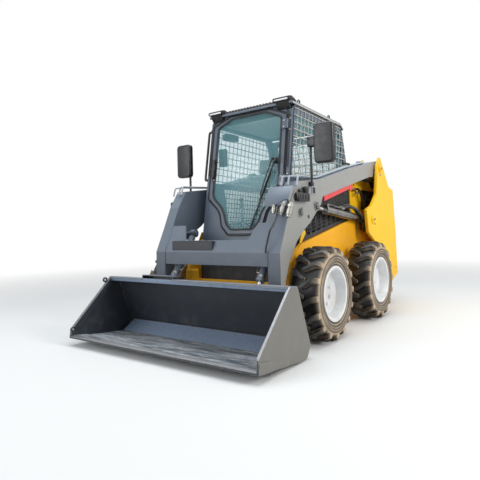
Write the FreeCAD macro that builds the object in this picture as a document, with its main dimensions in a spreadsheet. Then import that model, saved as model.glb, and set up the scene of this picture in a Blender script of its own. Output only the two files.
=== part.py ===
import FreeCAD, Part
import Sketcher
import math
import os

# Skid steer loader, in millimetres. X runs to the machine's left, Y to the rear and Z up,
# with the origin on the ground at the middle of the machine. Every sub-part is drawn in
# front axle coordinates: y from the front axle, z from the ground. Its placement then
# moves it by axle_y, so that one value centres the whole machine.

DOC = FreeCAD.newDocument("skid_steer_loader")
SHEET = DOC.addObject("Spreadsheet::Sheet", "Sizes")
VALUES = {}
NODES = []


class Size:
    """A length that knows its value and the spreadsheet cells that give it."""

    def __init__(self, value, text):
        self.value = float(value)
        self.text = text

    def __add__(self, other):
        other = size(other)
        return Size(self.value + other.value, "(%s + %s)" % (self.text, other.text))

    def __sub__(self, other):
        other = size(other)
        return Size(self.value - other.value, "(%s - %s)" % (self.text, other.text))

    def __mul__(self, other):
        other = size(other)
        return Size(self.value * other.value, "(%s * %s)" % (self.text, other.text))

    def __truediv__(self, other):
        other = size(other)
        return Size(self.value / other.value, "(%s / %s)" % (self.text, other.text))

    def __radd__(self, other):
        return size(other) + self

    def __rsub__(self, other):
        return size(other) - self

    def __rmul__(self, other):
        return size(other) * self

    def __neg__(self):
        return Size(-self.value, "(0 - %s)" % self.text)

    def __float__(self):
        return self.value


def size(number):
    if isinstance(number, Size):
        return number
    return Size(number, "%.9g" % number if number >= 0 else "(0 - %.9g)" % -number)


def record_sizes(rows):
    """Rows of (name, value, meaning) go to the sheet, one cell each."""
    for name, value, meaning in rows:
        row = len(VALUES) + 1
        SHEET.set("A%d" % row, name)
        SHEET.set("B%d" % row, "%.9g" % value)
        SHEET.set("C%d" % row, meaning)
        SHEET.setAlias("B%d" % row, name)
        VALUES[name] = value


def record_corners(prefix, rows):
    """Rows of (name, y, z) become two cells each, prefix_name_y and prefix_name_z."""
    for name, across, up in rows:
        record_sizes(((prefix + "_" + name + "_y", across, "outline corner, from the axle"),
                      (prefix + "_" + name + "_z", up, "outline corner, height")))


def cell(name):
    return Size(VALUES[name], "Sizes." + name)


def corners(prefix, names):
    """The corners of one outline, in order, as pairs of sizes."""
    return [(cell("%s_%s_y" % (prefix, name)), cell("%s_%s_z" % (prefix, name)))
            for name in names.split()]


record_sizes((
    # name, value, meaning
    ("overall_length", 3405, "bucket's edge to the rear of the towers"),
    ("overall_width", 1884, "over the bucket"),
    ("overall_height", 2118, "over the roof lamps"),
    ("axle_y", -502.5, "front axle's place along the machine"),
    ("wheelbase", 1085, "front axle to rear axle"),
    ("wheel_x", 779, "tyre's centre plane from the machine's centre"),
    ("tyre_radius", 383, "to the lug tips, also the axle's height"),
    ("tyre_half_width", 132, "half the section width"),
    ("tread_half_width", 116, "half the width over the lugs"),
    ("lug_height", 24, "lug tip above the casing"),
    ("lug_width", 42, "lug's width round the tyre"),
    ("lug_knee", 68, "where a lug bends, from the tyre's centre line"),
    ("lug_overlap", 12, "a lug's reach past the centre line"),
    ("lug_rake", 40, "how far round the tyre a lug's inner end lies"),
    ("lug_count", 16, "lugs in each of the two rows"),
    ("ring_sides", 32, "flat facets round a tyre or a rim"),
    ("rim_half_width", 123, "half the width over the rim flanges"),
    ("rim_lip", 11, "thickness of a rim flange"),
    ("flange_radius", 225, "rim flange"),
    ("seat_radius", 209.5, "bead seat"),
    ("well_radius", 190, "drop centre"),
    ("rim_wall", 10, "rim plate"),
    ("disc_wall", 12, "wheel disc"),
    ("disc_dish", 34, "disc's rise from the hub face to the well"),
    ("hub_radius", 62, "wheel hub"),
    ("hub_face_radius", 122, "flat of the disc that bolts to the hub"),
    ("hub_nose", 22, "hub cap outside the disc"),
    ("hub_inner", 82, "hub inside the disc"),
    ("spindle_radius", 45, "axle spindle"),
    ("running_gap", 0.05, "radial gap of a running fit"),
    ("seat_gap", 0.3, "gap between pieces that are seated on each other"),
    ("frame_half", 570, "half width over the lower frame"),
    ("frame_wall", 36, "side rail of the lower frame"),
    ("frame_plate", 12, "bottom and end plates of the lower frame"),
    ("frame_low", 232, "underside of the lower frame"),
    ("axle_tube_radius", 68, "axle tube outside the frame"),
    ("tower_outer", 720, "outer face of the tower"),
    ("tower_inner", 503, "inner face of the tower"),
    ("tower_plate", 14, "tower plates"),
    ("arm_outer", 667, "outer face of a lift arm"),
    ("arm_inner", 555, "inner face of a lift arm"),
    ("arm_plate", 12, "lift arm plates"),
    ("hinge_y", 1690, "lift arm hinge"),
    ("hinge_z", 1572, "lift arm hinge"),
    ("hinge_pin", 28, "lift arm hinge pin's radius"),
    ("arm_pin_y", 167, "lift cylinder's rod eye"),
    ("arm_pin_z", 1107, "lift cylinder's rod eye"),
    ("base_pin_y", 1412, "lift cylinder's base"),
    ("base_pin_z", 995, "lift cylinder's base"),
    ("base_pin", 24, "lift cylinder's base pin's radius"),
    ("lift_barrel_radius", 39, "lift cylinder barrel"),
    ("lift_rod_radius", 20, "lift cylinder rod"),
    ("lift_barrel_length", 985, "lift cylinder barrel from its base pin"),
    ("toe_y", -530, "bucket pivot"),
    ("toe_z", 205, "bucket pivot"),
    ("toe_pin", 22, "bucket pivot pin's radius"),
    ("tilt_ear_radius", 170, "bucket pivot to the tilt cylinder's rod eye"),
    ("tilt_ear_angle", 95, "direction of that eye from the pivot"),
    ("tilt_base_y", -165, "tilt cylinder's base"),
    ("tilt_base_z", 895, "tilt cylinder's base"),
    ("tilt_x", 465, "tilt cylinder from the machine's centre"),
    ("tilt_barrel_radius", 32, "tilt cylinder barrel"),
    ("tilt_rod_radius", 18, "tilt cylinder rod"),
    ("tilt_barrel_length", 480, "tilt cylinder barrel from its base pin"),
    ("bucket_wall", 12, "bucket plates"),
    ("heel_round", 60, "bucket's heel, outside radius"),
    ("wear_plate", 8, "wear plates on the bucket's sides"),
    ("edge_plate", 8, "cutting edge above the bucket's floor"),
    ("edge_depth", 150, "cutting edge, front to rear"),
    ("cab_half", 465, "half the cab's width"),
    ("cab_wall", 42, "cab side, front and rear frames"),
    ("cab_rake", 9.65, "cab front's lean to the rear, in degrees"),
    ("screen_low", 1360, "foot of the window screens"),
    ("screen_high", 2030, "top of the window screens"),
    ("screen_bar", 12, "bars of the window screens"),
    ("screen_pitch", 106, "spacing of the window screens' bars"),
    ("sill_y", -37, "foot of the cab's front plane"),
    ("sill_z", 868, "foot of the cab's front plane"),
    ("eye_x", 455, "lifting eye, from the machine's centre"),
    ("eye_plate", 10, "lifting eye's thickness"),
    ("eye_radius", 26, "lifting eye"),
    ("eye_hole", 14, "lifting eye's hole"),
    ("eye_front_y", 298, "front lifting eye"),
    ("eye_front_z", 2086, "front lifting eye"),
    ("eye_rear_y", 945, "rear lifting eye"),
    ("eye_rear_z", 2064, "rear lifting eye"),
    ("door_gap", 6, "gap between the door and its opening"),
    ("door_depth", 30, "thickness of the door frame"),
    ("door_proud", 12, "door frame in front of the cab's front plane"),
    ("glass", 6, "thickness of a pane"),
    ("rail_reach", 38, "grab rail's middle outside the screen"),
    ("rail_radius", 12, "grab rail"),
    ("rail_low", 1420, "grab rail's lower foot"),
    ("rail_high", 1925, "grab rail's upper foot"),
    ("grille_outer", 546, "outer face of a side grille"),
    ("grille_depth", 14, "thickness of a side grille"),
))


record_sizes((
    ("door_hinge_x", 435, "door hinge, from the machine's centre"),
    ("door_hinge_out", 21, "door hinge, in front of the cab's front plane"),
    ("tail_inset", 9, "foot of the rear door's outer face, ahead of the towers"),
    ("tail_z", 380, "foot of the rear door's outer face"),
    ("tail_lean", 4.6, "rear door's lean to the front, in degrees"),
    ("tail_half", 485, "half the rear door's width"),
    ("tail_height", 940, "rear door's height along its face"),
    ("tail_depth", 40, "rear door's thickness"),
    ("tail_hinge_x", 495, "rear door's hinge, from the machine's centre"),
    ("tail_hinge_out", 6, "rear door's hinge, behind its outer face"),
    ("hood_half", 495, "half the hood's width"),
    ("hood_hinge_y", 1400, "hood hinge"),
    ("hood_hinge_z", 1385, "hood hinge"),
    ("hood_pin", 10, "hood hinge pin's radius"),
    ("hood_plate", 12, "hood plate"),
))


def bind(thing, name, amount):
    """Ties one property to the sheet's values."""
    thing.setExpression(name, size(amount).text)


PLANES = {"X": ("YZ_Plane", 1), "Y": ("XZ_Plane", -1), "Z": ("XY_Plane", 1)}


def new_body(name, place=None, lean=None):
    """A sub-part's body, moved from front axle coordinates to the machine's frame."""
    body = DOC.addObject("PartDesign::Body", name)
    body.AllowCompound = True
    x, y, z = place or (0, 0, 0)
    if lean is not None:
        body.Placement = FreeCAD.Placement(FreeCAD.Vector(0, 0, 0),
                                           FreeCAD.Rotation(FreeCAD.Vector(1, 0, 0), 1))
        bind(body, "Placement.Rotation.Angle", -lean)
    bind(body, "Placement.Base.x", x)
    bind(body, "Placement.Base.y", cell("axle_y") + y)
    bind(body, "Placement.Base.z", z)
    return body


def sketch_on(body, axis, at):
    plane_name, sign = PLANES[axis]
    plane = [f for f in body.Origin.OriginFeatures if f.Role == plane_name][0]
    sketch = body.newObject("Sketcher::SketchObject", body.Name + "_sketch")
    sketch.AttachmentSupport = [(plane, "")]
    sketch.MapMode = "FlatFace"
    bind(sketch, "AttachmentOffset.Base.z", size(at) * sign)
    return sketch


def draw_loop(sketch, points):
    """A closed loop of lines whose corners are held to the sheet's cells."""
    first = sketch.GeometryCount
    places = [FreeCAD.Vector(float(a), float(b), 0) for a, b in points]
    count = len(places)
    for index in range(count):
        sketch.addGeometry(Part.LineSegment(places[index], places[(index + 1) % count]))
    for index in range(count):
        sketch.addConstraint(Sketcher.Constraint("Coincident", first + index, 2,
                                                 first + (index + 1) % count, 1))
    for index, point in enumerate(points):
        for kind, amount in zip(("DistanceX", "DistanceY"), point):
            amount = size(amount)
            number = sketch.addConstraint(
                Sketcher.Constraint(kind, -1, 1, first + index, 1, amount.value))
            if "Sizes." in amount.text:
                sketch.setExpression("Constraints[%d]" % number, amount.text)


def draw_circle(sketch, centre, radius):
    first = sketch.GeometryCount
    middle = FreeCAD.Vector(float(centre[0]), float(centre[1]), 0)
    sketch.addGeometry(Part.Circle(middle, FreeCAD.Vector(0, 0, 1), float(radius)))
    for kind, amount in zip(("DistanceX", "DistanceY"), centre):
        amount = size(amount)
        number = sketch.addConstraint(Sketcher.Constraint(kind, -1, 1, first, 3, amount.value))
        if "Sizes." in amount.text:
            sketch.setExpression("Constraints[%d]" % number, amount.text)
    number = sketch.addConstraint(Sketcher.Constraint("Radius", first, float(radius)))
    if "Sizes." in size(radius).text:
        sketch.setExpression("Constraints[%d]" % number, size(radius).text)


def shape_profile(body, axis, at, loops, circles=()):
    sketch = sketch_on(body, axis, at)
    for loop in loops:
        draw_loop(sketch, loop)
    for centre, radius in circles:
        draw_circle(sketch, centre, radius)
    return sketch


def pad(body, axis, low, high, loops, circles=()):
    """Plate between two places along an axis, from outlines in the other two."""
    feature = body.newObject("PartDesign::Pad", body.Name + "_pad")
    feature.Profile = shape_profile(body, axis, low, loops, circles)
    feature.Reversed = axis == "Y"
    bind(feature, "Length", size(high) - low)
    return feature


def cut(body, axis, low, high, loops, circles=()):
    """Pocket between two places along an axis."""
    feature = body.newObject("PartDesign::Pocket", body.Name + "_cut")
    feature.Profile = shape_profile(body, axis, low, loops, circles)
    feature.Reversed = axis != "Y"
    bind(feature, "Length", size(high) - low)
    return feature


def round_corners(body, axis, points, radius):
    """Rounds the edges that run along an axis through the given corners."""
    DOC.recompute()
    tip = body.Tip
    spots = [(float(a), float(b)) for a, b in points]
    pick = {"X": lambda v: (v.y, v.z), "Y": lambda v: (v.x, v.z), "Z": lambda v: (v.x, v.y)}[axis]
    names = []
    for index, edge in enumerate(tip.Shape.Edges):
        ends = [pick(vertex.Point) for vertex in edge.Vertexes]
        if len(ends) != 2 or math.dist(*ends) > 0.01:
            continue
        if any(math.dist(ends[0], spot) < 0.05 for spot in spots):
            names.append("Edge%d" % (index + 1))
    feature = body.newObject("PartDesign::Fillet", body.Name + "_fillet")
    feature.Base = (tip, names)
    bind(feature, "Radius", radius)
    return feature


def box(low_a, low_b, high_a, high_b):
    return [(low_a, low_b), (high_a, low_b), (high_a, high_b), (low_a, high_b)]


def mirror_loop(points):
    """A loop given for one side, closed by its mirror about the machine's centre."""
    return list(points) + [(-size(a), b) for a, b in reversed(points)]


def offset_path(points, wall):
    """An open path moved sideways by a wall's thickness, mitred at its corners."""
    flat = [(float(a), float(b)) for a, b in points]
    normals = []
    for (a, b), (c, d) in zip(flat, flat[1:]):
        length = math.dist((a, b), (c, d))
        normals.append(((b - d) / length, (c - a) / length))
    moved = []
    for index, (a, b) in enumerate(points):
        before = normals[max(index - 1, 0)]
        after = normals[min(index, len(normals) - 1)]
        share = 1 + before[0] * after[0] + before[1] * after[1]
        moved.append((size(a) + (before[0] + after[0]) / share * size(wall),
                      size(b) + (before[1] + after[1]) / share * size(wall)))
    return moved


def sheet_loop(points, wall):
    """Closed section of a plate that follows a path."""
    return list(points) + list(reversed(offset_path(points, wall)))


def node(thing, label):
    thing.Label = label
    NODES.append(thing)
    return thing


def mirrored(body, feature_names=None):
    """The body's features again on the machine's other side."""
    feature = body.newObject("PartDesign::Mirrored", body.Name + "_mirrored")
    feature.Originals = feature_names
    plane = [f for f in body.Origin.OriginFeatures if f.Role == "YZ_Plane"][0]
    feature.MirrorPlane = (plane, [""])
    body.Tip = feature
    return feature


SIDES = (("left", 1), ("right", -1))


record_corners("bucket", (
    # name, y, z of the bucket's side
    ("edge_low", -1200, 62), ("edge_high", -1190, 145), ("lip_front", -789, 532),
    ("lip_rear", -694, 525), ("back_low", -530, 95), ("heel", -584, 12),
    ("floor_rear", -679, 12)))


def stern(ahead):
    """y of a place that lies a distance ahead of the machine's rear end."""
    return cell("bucket_edge_low_y") + cell("overall_length") - ahead


def stern_corners(rows):
    """Rows of (distance ahead of the rear end, z) as outline corners."""
    return [(stern(ahead), size(up)) for ahead, up in rows]


def span(side, inner, outer):
    """Low and high x of a piece that lies between two distances on one side."""
    return (inner, outer) if side > 0 else (-size(outer), -size(inner))


record_corners("frame", (
    # name, y, z of the lower frame's side
    ("nose_low", -175, 300), ("nose_high", -175, 538), ("nose_slope", -120, 640),
    ("nose_top", -28, 734), ("rail_front", 82, 789), ("rail_mid", 1008, 968),
    ("rail_rear", 1300, 1010), ("front_low", -70, 232)))
FRAME_TAIL = ((145, 1010), (145, 330), (265, 232))


def frame_outline():
    front = corners("frame", "nose_low nose_high nose_slope nose_top rail_front rail_mid rail_rear")
    return front + stern_corners(FRAME_TAIL) + corners("frame", "front_low")


def make_main_frame():
    body = new_body("main_frame")
    half, wall, plate = cell("frame_half"), cell("frame_wall"), cell("frame_plate")
    pad(body, "X", -half, half, [frame_outline()])
    tail = stern(FRAME_TAIL[0][0])
    top = cell("frame_rail_rear_z") + 200
    inner_low = cell("frame_low") + plate
    heel = stern_corners(FRAME_TAIL[1:])
    hollow = [(cell("frame_nose_low_y") + plate, inner_low + 70),
              (cell("frame_front_low_y") + plate, inner_low),
              (heel[1][0] - plate / 2, inner_low),
              (tail - plate, heel[0][1] + plate / 2),
              (tail - plate, top),
              (cell("frame_nose_low_y") + plate, top)]
    cut(body, "X", wall - half, half - wall, [hollow])
    cut(body, "Y", cell("frame_nose_low_y") - 10, cell("frame_nose_low_y") + 300,
        [mirror_loop([(half - 150, 470), (half - 150, 1000)])])
    cut(body, "Y", cell("frame_nose_low_y") - 10, cell("frame_nose_low_y") + 60,
        [box(150 - half, 320, half - 150, 440)])
    cut(body, "Y", tail - 60, tail + 10,
        [box(90 - half, 420, half - 90, 1100)])
    pad(body, "X", wall - half, half - wall, [box(200, 244, 280, 385 - cell("seat_gap"))])
    node(body, "main_frame")


def make_axle_housings():
    body = new_body("axle_housings", (0, 0, cell("tyre_radius")))
    tube_end = cell("wheel_x") - cell("hub_inner") - 4
    spindle_end = cell("wheel_x") + 2
    root = cell("frame_half")
    flange = root + 14
    radius, thin = cell("axle_tube_radius"), cell("spindle_radius")
    centre = (0, 0)
    steps = [pad(body, "X", root, flange, [], [(centre, radius + 30)]),
             pad(body, "X", root, tube_end, [], [(centre, radius)]),
             pad(body, "X", root, spindle_end, [], [(centre, thin)])]
    plane = [f for f in body.Origin.OriginFeatures if f.Role == "YZ_Plane"][0]
    along = [f for f in body.Origin.OriginFeatures if f.Role == "Y_Axis"][0]
    other = body.newObject("PartDesign::MultiTransform", "axle_pattern")
    other.Originals = steps
    mirror = body.newObject("PartDesign::Mirrored", "axle_mirror")
    mirror.MirrorPlane = (plane, [""])
    row = body.newObject("PartDesign::LinearPattern", "axle_row")
    row.Direction = (along, [""])
    row.Occurrences = 2
    bind(row, "Length", cell("wheelbase"))
    other.Transformations = [mirror, row]
    body.Tip = other
    node(body, "axle_housings")


record_corners("tower", (
    # name, y, z of a tower's outer plate
    ("apex", 1715, 1700), ("front_top", 1638, 1606), ("front_mid", 1552, 1262),
    ("step_high", 1396, 1135), ("step_low", 1242, 1090), ("waist", 1278, 856),
    ("skirt", 1542, 718), ("skirt_low", 1530, 420), ("bottom_front", 1600, 300),
    ("deck_front", 1288, 1010), ("brow", 1288, 1424)))
TOWER_REAR = ((229, 262), (0, 345), (23, 862), (80, 1345), (227, 1377))


def make_tower(side_name, side):
    body = new_body("tower_" + side_name)
    outer, inner, plate = cell("tower_outer"), cell("tower_inner"), cell("tower_plate")
    rear = stern_corners(TOWER_REAR)
    outline = corners("tower", "apex front_top front_mid step_high step_low waist skirt "
                      "skirt_low bottom_front") + rear
    inside = corners("tower", "apex front_top brow deck_front") + rear[1:]
    deck = cell("frame_rail_rear_z") + cell("seat_gap")
    pad(body, "X", *span(side, outer - plate, outer), [outline])
    pad(body, "X", *span(side, inner, inner + plate), [inside])
    cut(body, "X", *span(side, inner - 5, inner + plate + 5), [box(1000, 0, 2400, deck)])
    beside = cell("frame_half") + cell("seat_gap")
    pad(body, "X", *span(side, inner, beside), [box(1310, deck, 2050, deck + plate)])
    pad(body, "X", *span(side, inner, outer), [sheet_loop(rear[1:], plate)])
    low = corners("tower", "skirt_low bottom_front") + rear[:2]
    pad(body, "X", *span(side, beside, outer), [sheet_loop(low, plate)])
    pin = (cell("hinge_y"), cell("hinge_z"))
    base = (cell("base_pin_y"), cell("base_pin_z"))
    pad(body, "X", *span(side, inner, outer + 8), [], [(pin, cell("hinge_pin"))])
    pad(body, "X", *span(side, outer, outer + 10), [], [(pin, cell("hinge_pin") + 22)])
    pad(body, "X", *span(side, beside, outer + 8), [], [(base, cell("base_pin"))])
    pad(body, "X", *span(side, outer, outer + 10), [], [(base, 50)])
    window = [(1640, 1150), (1690, 1312), (2026, 1324), (2026, 1190), (1930, 1131), (1660, 1131)]
    cut(body, "X", *span(side, inner - 5, inner + plate + 5), [window])
    hood = (cell("hood_hinge_y"), cell("hood_hinge_z"))
    bore = cell("hood_pin") + cell("running_gap")
    cut(body, "X", *span(side, inner - 5, inner + plate + 5), [], [(hood, bore)])
    node(body, "tower_" + side_name)


def make_side_grilles():
    body = new_body("side_grilles")
    outer, depth, gap = cell("grille_outer"), cell("grille_depth"), cell("seat_gap")
    rail = corners("frame", "rail_front rail_mid")
    foot = [(a, b + gap) for a, b in rail]
    outline = foot + [(1180, 1010), (1180, 1340), (430, 1180), (150, 1000)]
    first = pad(body, "X", outer - depth, outer, [outline])
    slots = []
    for index in range(9):
        low = 200 + index * 105
        base = 850 + index * 20.3
        slots.append([(low, base), (low + 70, base + 13.5), (low + 70, base + 160),
                      (low, base + 146)])
    second = cut(body, "X", outer - depth - 5, outer + 5, slots)
    mirrored(body, [first, second])
    node(body, "side_grilles")


def make_engine_block():
    body = new_body("engine_block")
    floor = cell("frame_low") + cell("frame_plate") + cell("seat_gap")
    pad(body, "Z", floor, 1060, [box(-250, 1400, 250, 1860)])
    pad(body, "Z", floor, 1290, [box(-440, stern(335), 440, stern(280))])
    node(body, "engine_block")


def front_plane(height):
    """y of the cab's front plane at a height."""
    slope = math.tan(math.radians(float(cell("cab_rake"))))
    return cell("sill_y") + (size(height) - cell("sill_z")) * slope


record_corners("cab", (
    # name, y, z of a cab side; its front edge follows the raked front plane
    ("roof_front", 210, 2050), ("roof_rear", 1190, 2020), ("back_high", 1245, 1960),
    ("back_mid", 1327, 1646), ("back_low", 1375, 1010), ("foot_rear", 1180, 905)))


def cab_outline():
    front_low = (front_plane(790), size(800))
    front_high = (front_plane(2000), size(2000))
    return [front_low, front_high] + corners("cab", "roof_front roof_rear back_high back_mid "
                                             "back_low foot_rear")


def back_spot_of_cab(height):
    """A point of the cab's rear face at a height."""
    low, mid, high = corners("cab", "back_low back_mid back_high")
    near, far = (low, mid) if float(height) < float(mid[1]) else (mid, high)
    share = (size(height) - near[1]) / (far[1] - near[1])
    return (near[0] + share * (far[0] - near[0]), size(height))


def make_cab_side(side_name, side):
    body = new_body("cab_side_" + side_name)
    half, wall = cell("cab_half"), cell("cab_wall")
    pad(body, "X", *span(side, half - wall, half), [cab_outline()])
    window = [(front_plane(1390) + 62, 1390), (front_plane(1960) + 62, 1960),
              (1140, 1950), (1190, 1880), (1258, 1620), (1275, 1390)]
    cut(body, "X", *span(side, half - wall - 5, half + 5), [window])
    node(body, "cab_side_" + side_name)


def cab_lean_body(name):
    """A body whose XZ plane is the cab's raked front plane, z up along it."""
    return new_body(name, (0, cell("sill_y"), cell("sill_z")), cell("cab_rake"))


record_corners("door", (
    # name, half width, height above the sill along the raked plane
    ("foot", 150, 8), ("knee_low", 232, 90), ("knee_high", 262, 209), ("hip", 300, 260),
    ("side_low", 421, 365), ("side_high", 421, 1100), ("shoulder", 225, 1180)))
DOOR_NAMES = "foot knee_low knee_high hip side_low side_high shoulder"


def door_loop(grow):
    return mirror_loop([(a + grow, b) for a, b in corners("door", DOOR_NAMES)])


def make_cab_front():
    body = cab_lean_body("cab_front")
    half, wall = cell("cab_half") - cell("cab_wall") - cell("seat_gap"), cell("cab_wall")
    pad(body, "Y", 0, wall, [box(-half, -70, half, 1195)])
    gap = cell("door_gap")
    cut(body, "Y", -5, wall + 5, [door_loop(gap)])
    node(body, "cab_front")


def make_cab_rear():
    body = new_body("cab_rear")
    half, wall = cell("cab_half") - cell("cab_wall") - cell("seat_gap"), cell("cab_wall")
    path = corners("cab", "back_low back_mid back_high")
    pad(body, "X", -half, half, [sheet_loop(path, wall)])
    cut(body, "Y", 1100, 1500, [box(-half + 60, 1390, half - 60, 1880)])
    node(body, "cab_rear")


def make_cab_roof():
    body = new_body("cab_roof")
    half = cell("cab_half") + 8
    gap = cell("seat_gap")
    path = [(front_plane(2000) - 30, 2000 + 47)] + \
        [(a, b + gap) for a, b in corners("cab", "roof_front roof_rear")] + [(1262, 1975)]
    pad(body, "X", -half, half, [sheet_loop(path, 22)])
    foot = front_plane(2000) - 28
    for index in range(16):
        rib = (index - 7.5) * 36
        pad(body, "X", rib - 7, rib + 7, [[(foot, 2060), (foot, 2074), (foot + 14, 2086),
                                           (foot + 66, 2086), (foot + 78, 2060)]])
    middle, thick = cell("eye_x"), cell("eye_plate") / 2
    for along, up in (("eye_front_y", "eye_front_z"), ("eye_rear_y", "eye_rear_z")):
        centre = (cell(along), cell(up))
        for side_name, side in SIDES:
            reach = span(side, middle - thick, middle + thick)
            pad(body, "X", *reach, [], [(centre, cell("eye_radius"))])
            cut(body, "X", *reach, [], [((centre[0], centre[1] + 2), cell("eye_hole"))])
    node(body, "cab_roof")


def make_cab_floor():
    body = new_body("cab_floor")
    half = cell("cab_half") - cell("cab_wall") - cell("seat_gap")
    path = [(-30, 780), (-118, 640), (-118, 385), (420, 385), (440, 760), (1010, 760), (1325, 1000)]
    pad(body, "X", -half, half, [sheet_loop(path, 12)])
    node(body, "cab_floor")


def make_side_screens():
    """Guard grids over the side windows and the rear window."""
    body = new_body("side_screens")
    outer, gap = cell("cab_half"), cell("seat_gap")
    low, high, bar = cell("screen_low"), cell("screen_high"), cell("screen_bar")
    pitch = cell("screen_pitch")
    edge = [(front_plane(low) + 8, low), (front_plane(high) + 8, high), (1176, high - 26),
            (1234, 1950), (1316, 1646), (1338, low)]
    features = [pad(body, "X", outer + gap, outer + 8, [edge])]
    for row in range(6):
        foot = low + 16 + pitch * row
        start = front_plane(foot + pitch) + 26
        holes = [box(start + pitch * column, foot, start + pitch * (column + 1) - bar,
                     foot + pitch - bar) for column in range(9 if row < 4 else 8)]
        features.append(cut(body, "X", outer - 5, outer + 15, holes))
    mirrored(body, features)
    half = cell("cab_half") - cell("cab_wall") - 20
    path = [back_spot_of_cab(1340), *corners("cab", "back_mid"), back_spot_of_cab(1930)]
    near = offset_path(path, -gap)
    pad(body, "X", -half, half, [sheet_loop(near, -8)])
    for row in range(5):
        foot = 1366 + pitch * row
        cut(body, "Y", 1150, 1450, [box((column - 3.5) * pitch + bar / 2, foot,
                                        (column - 2.5) * pitch - bar / 2, foot + pitch - bar)
                                    for column in range(7)])
    node(body, "side_screens")


def make_cab_windows():
    body = new_body("cab_windows")
    half, wall, gap = cell("cab_half"), cell("cab_wall"), cell("seat_gap")
    window = [(front_plane(1390) + 62 + gap, 1390 + gap),
              (front_plane(1960) + 62 + gap, 1960 - gap), (1140 - gap, 1950 - gap),
              (1190 - gap, 1880 - gap), (1258 - gap, 1620), (1275 - gap, 1390 + gap)]
    pane = pad(body, "X", half - wall / 2, half - wall / 2 + cell("glass"), [window])
    mirrored(body, [pane])
    rear_half = half - wall - gap - 60 - gap
    kinked = offset_path([back_spot_of_cab(1393 + gap), *corners("cab", "back_mid"),
                          back_spot_of_cab(1880 - gap)], wall / 2)
    pad(body, "X", -rear_half, rear_half, [sheet_loop(kinked, cell("glass"))])
    node(body, "cab_windows")


def make_seat():
    body = new_body("seat")
    low = 772 + cell("seat_gap")
    pad(body, "X", -240, 240, [[(520, low), (960, low), (1060, 1330), (960, 1350), (880, 900),
                                (520, 900)]])
    round_corners(body, "X", [(520, 900), (960, 1350), (1060, 1330)], 20)
    node(body, "seat")


def make_controls():
    body = new_body("controls")
    low = 772 + cell("seat_gap")
    first = pad(body, "X", 300, 400, [[(470, low), (900, low), (900, 1010), (560, 1010),
                                       (470, 940)]])
    second = pad(body, "Z", 900, 1180, [], [((350, 470), 12)])
    third = pad(body, "Z", 1150, 1260, [], [((350, 470), 24)])
    mirrored(body, [first, second, third])
    node(body, "controls")


def make_roof_lamps():
    body = new_body("roof_lamps")
    top = cell("overall_height")
    first = pad(body, "X", 290, 470, [[(93, 2069.5), (93, top - 14), (160, top), (245, top - 26),
                                       (245, 2072), (209, 2072.7)]])
    mirrored(body, [first])
    node(body, "roof_lamps")


def make_arm(side_name, side):
    body = new_body("arm_" + side_name)
    inner, outer, plate = cell("arm_inner"), cell("arm_outer"), cell("arm_plate")
    outline = corners("arm", ARM_NAMES)
    pad(body, "X", *span(side, inner, outer), [outline])
    hollow = [(60, 850), (-60, 980), (20, 1200), (360, 1270), (420, 1210), (330, 1040), (200, 850)]
    cut(body, "X", *span(side, inner + plate, outer - plate), [hollow])
    hinge = ((cell("hinge_y"), cell("hinge_z")), cell("hinge_pin") + cell("running_gap"))
    toe = ((cell("toe_y"), cell("toe_z")), cell("toe_pin") + cell("running_gap"))
    cut(body, "X", *span(side, inner - 5, outer + 5), [], [hinge])
    cut(body, "X", *span(side, inner - 5, outer + 5), [], [toe])
    pad(body, "X", *span(side, cell("tilt_x") - 38, inner), [],
        [((cell("tilt_base_y"), cell("tilt_base_z")), 20)])
    eye = (cell("arm_pin_y"), cell("arm_pin_z"))
    # y, z, radius and height of the round bosses on the outer plate
    bosses = ((*eye, 44, 7), (*eye, 22, 17), (-123, 1047, 36, 7), (-123, 1047, 20, 15))
    for along, up, radius, height in bosses:
        pad(body, "X", *span(side, outer - plate, outer + height), [], [((along, up), radius)])
    cut(body, "X", *span(side, outer - plate - 5, outer + 5), [], [((16, 1015), 13)])
    round_corners(body, "X", corners("arm", "toe_front toe_heel"), 33)
    round_corners(body, "X", corners("arm", "end_top end_rear end_low"), 36)
    round_corners(body, "X", corners("arm", "knee_rear knee_low post_rear"), 60)
    node(body, "arm_" + side_name)


record_corners("arm", (
    # name, y, z of a lift arm, from its toe up the front and back along the beam
    ("toe_front", -574.8, 192.6), ("post_foot", -467, 400), ("post_top", -467, 735),
    ("slope_top", -365, 946), ("neck", -275, 1143), ("knee_front", -167, 1302),
    ("beam_front", 256, 1350), ("beam_mid", 950, 1513), ("end_top", 1725, 1666),
    ("end_rear", 1790, 1580), ("end_low", 1730, 1490), ("under_rear", 1483, 1462),
    ("under_mid", 1125, 1383), ("under_front", 296, 1194.5), ("pin_rear", 264, 1128),
    ("knee_rear", 156, 1050), ("knee_low", 50, 966), ("knee_base", -73, 902),
    ("post_rear", -198, 812),
    ("post_mid", -326, 656), ("tyre_high", -392, 520), ("tyre_mid", -412, 400),
    ("shin", -420, 300), ("toe_heel", -520.9, 159.5)))
ARM_NAMES = ("toe_front post_foot post_top slope_top neck knee_front beam_front beam_mid end_top "
             "end_rear end_low under_rear under_mid under_front pin_rear knee_rear knee_low "
             "knee_base post_rear post_mid tyre_high tyre_mid shin toe_heel")


def make_cross_member():
    body = new_body("arm_cross_member")
    inner, plate, gap = cell("arm_inner"), cell("arm_plate"), cell("seat_gap")
    top, slope = corners("arm", "post_top slope_top")
    path = [(top[0], 628), top, slope, (-354, 970)]
    path.reverse()
    first = pad(body, "X", gap - inner, inner - gap, [sheet_loop(path, plate)])
    cut(body, "Y", -600, -300, [mirror_loop([(340, 835), (400, 966), (400, 1100)])])
    node(body, "arm_cross_member")


def make_arm_step():
    body = new_body("arm_step")
    pad(body, "X", -463, 0, [[(-458.4, 756), (-422.1, 829), (-464, 829), (-464, 756)]])
    node(body, "arm_step")


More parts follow.
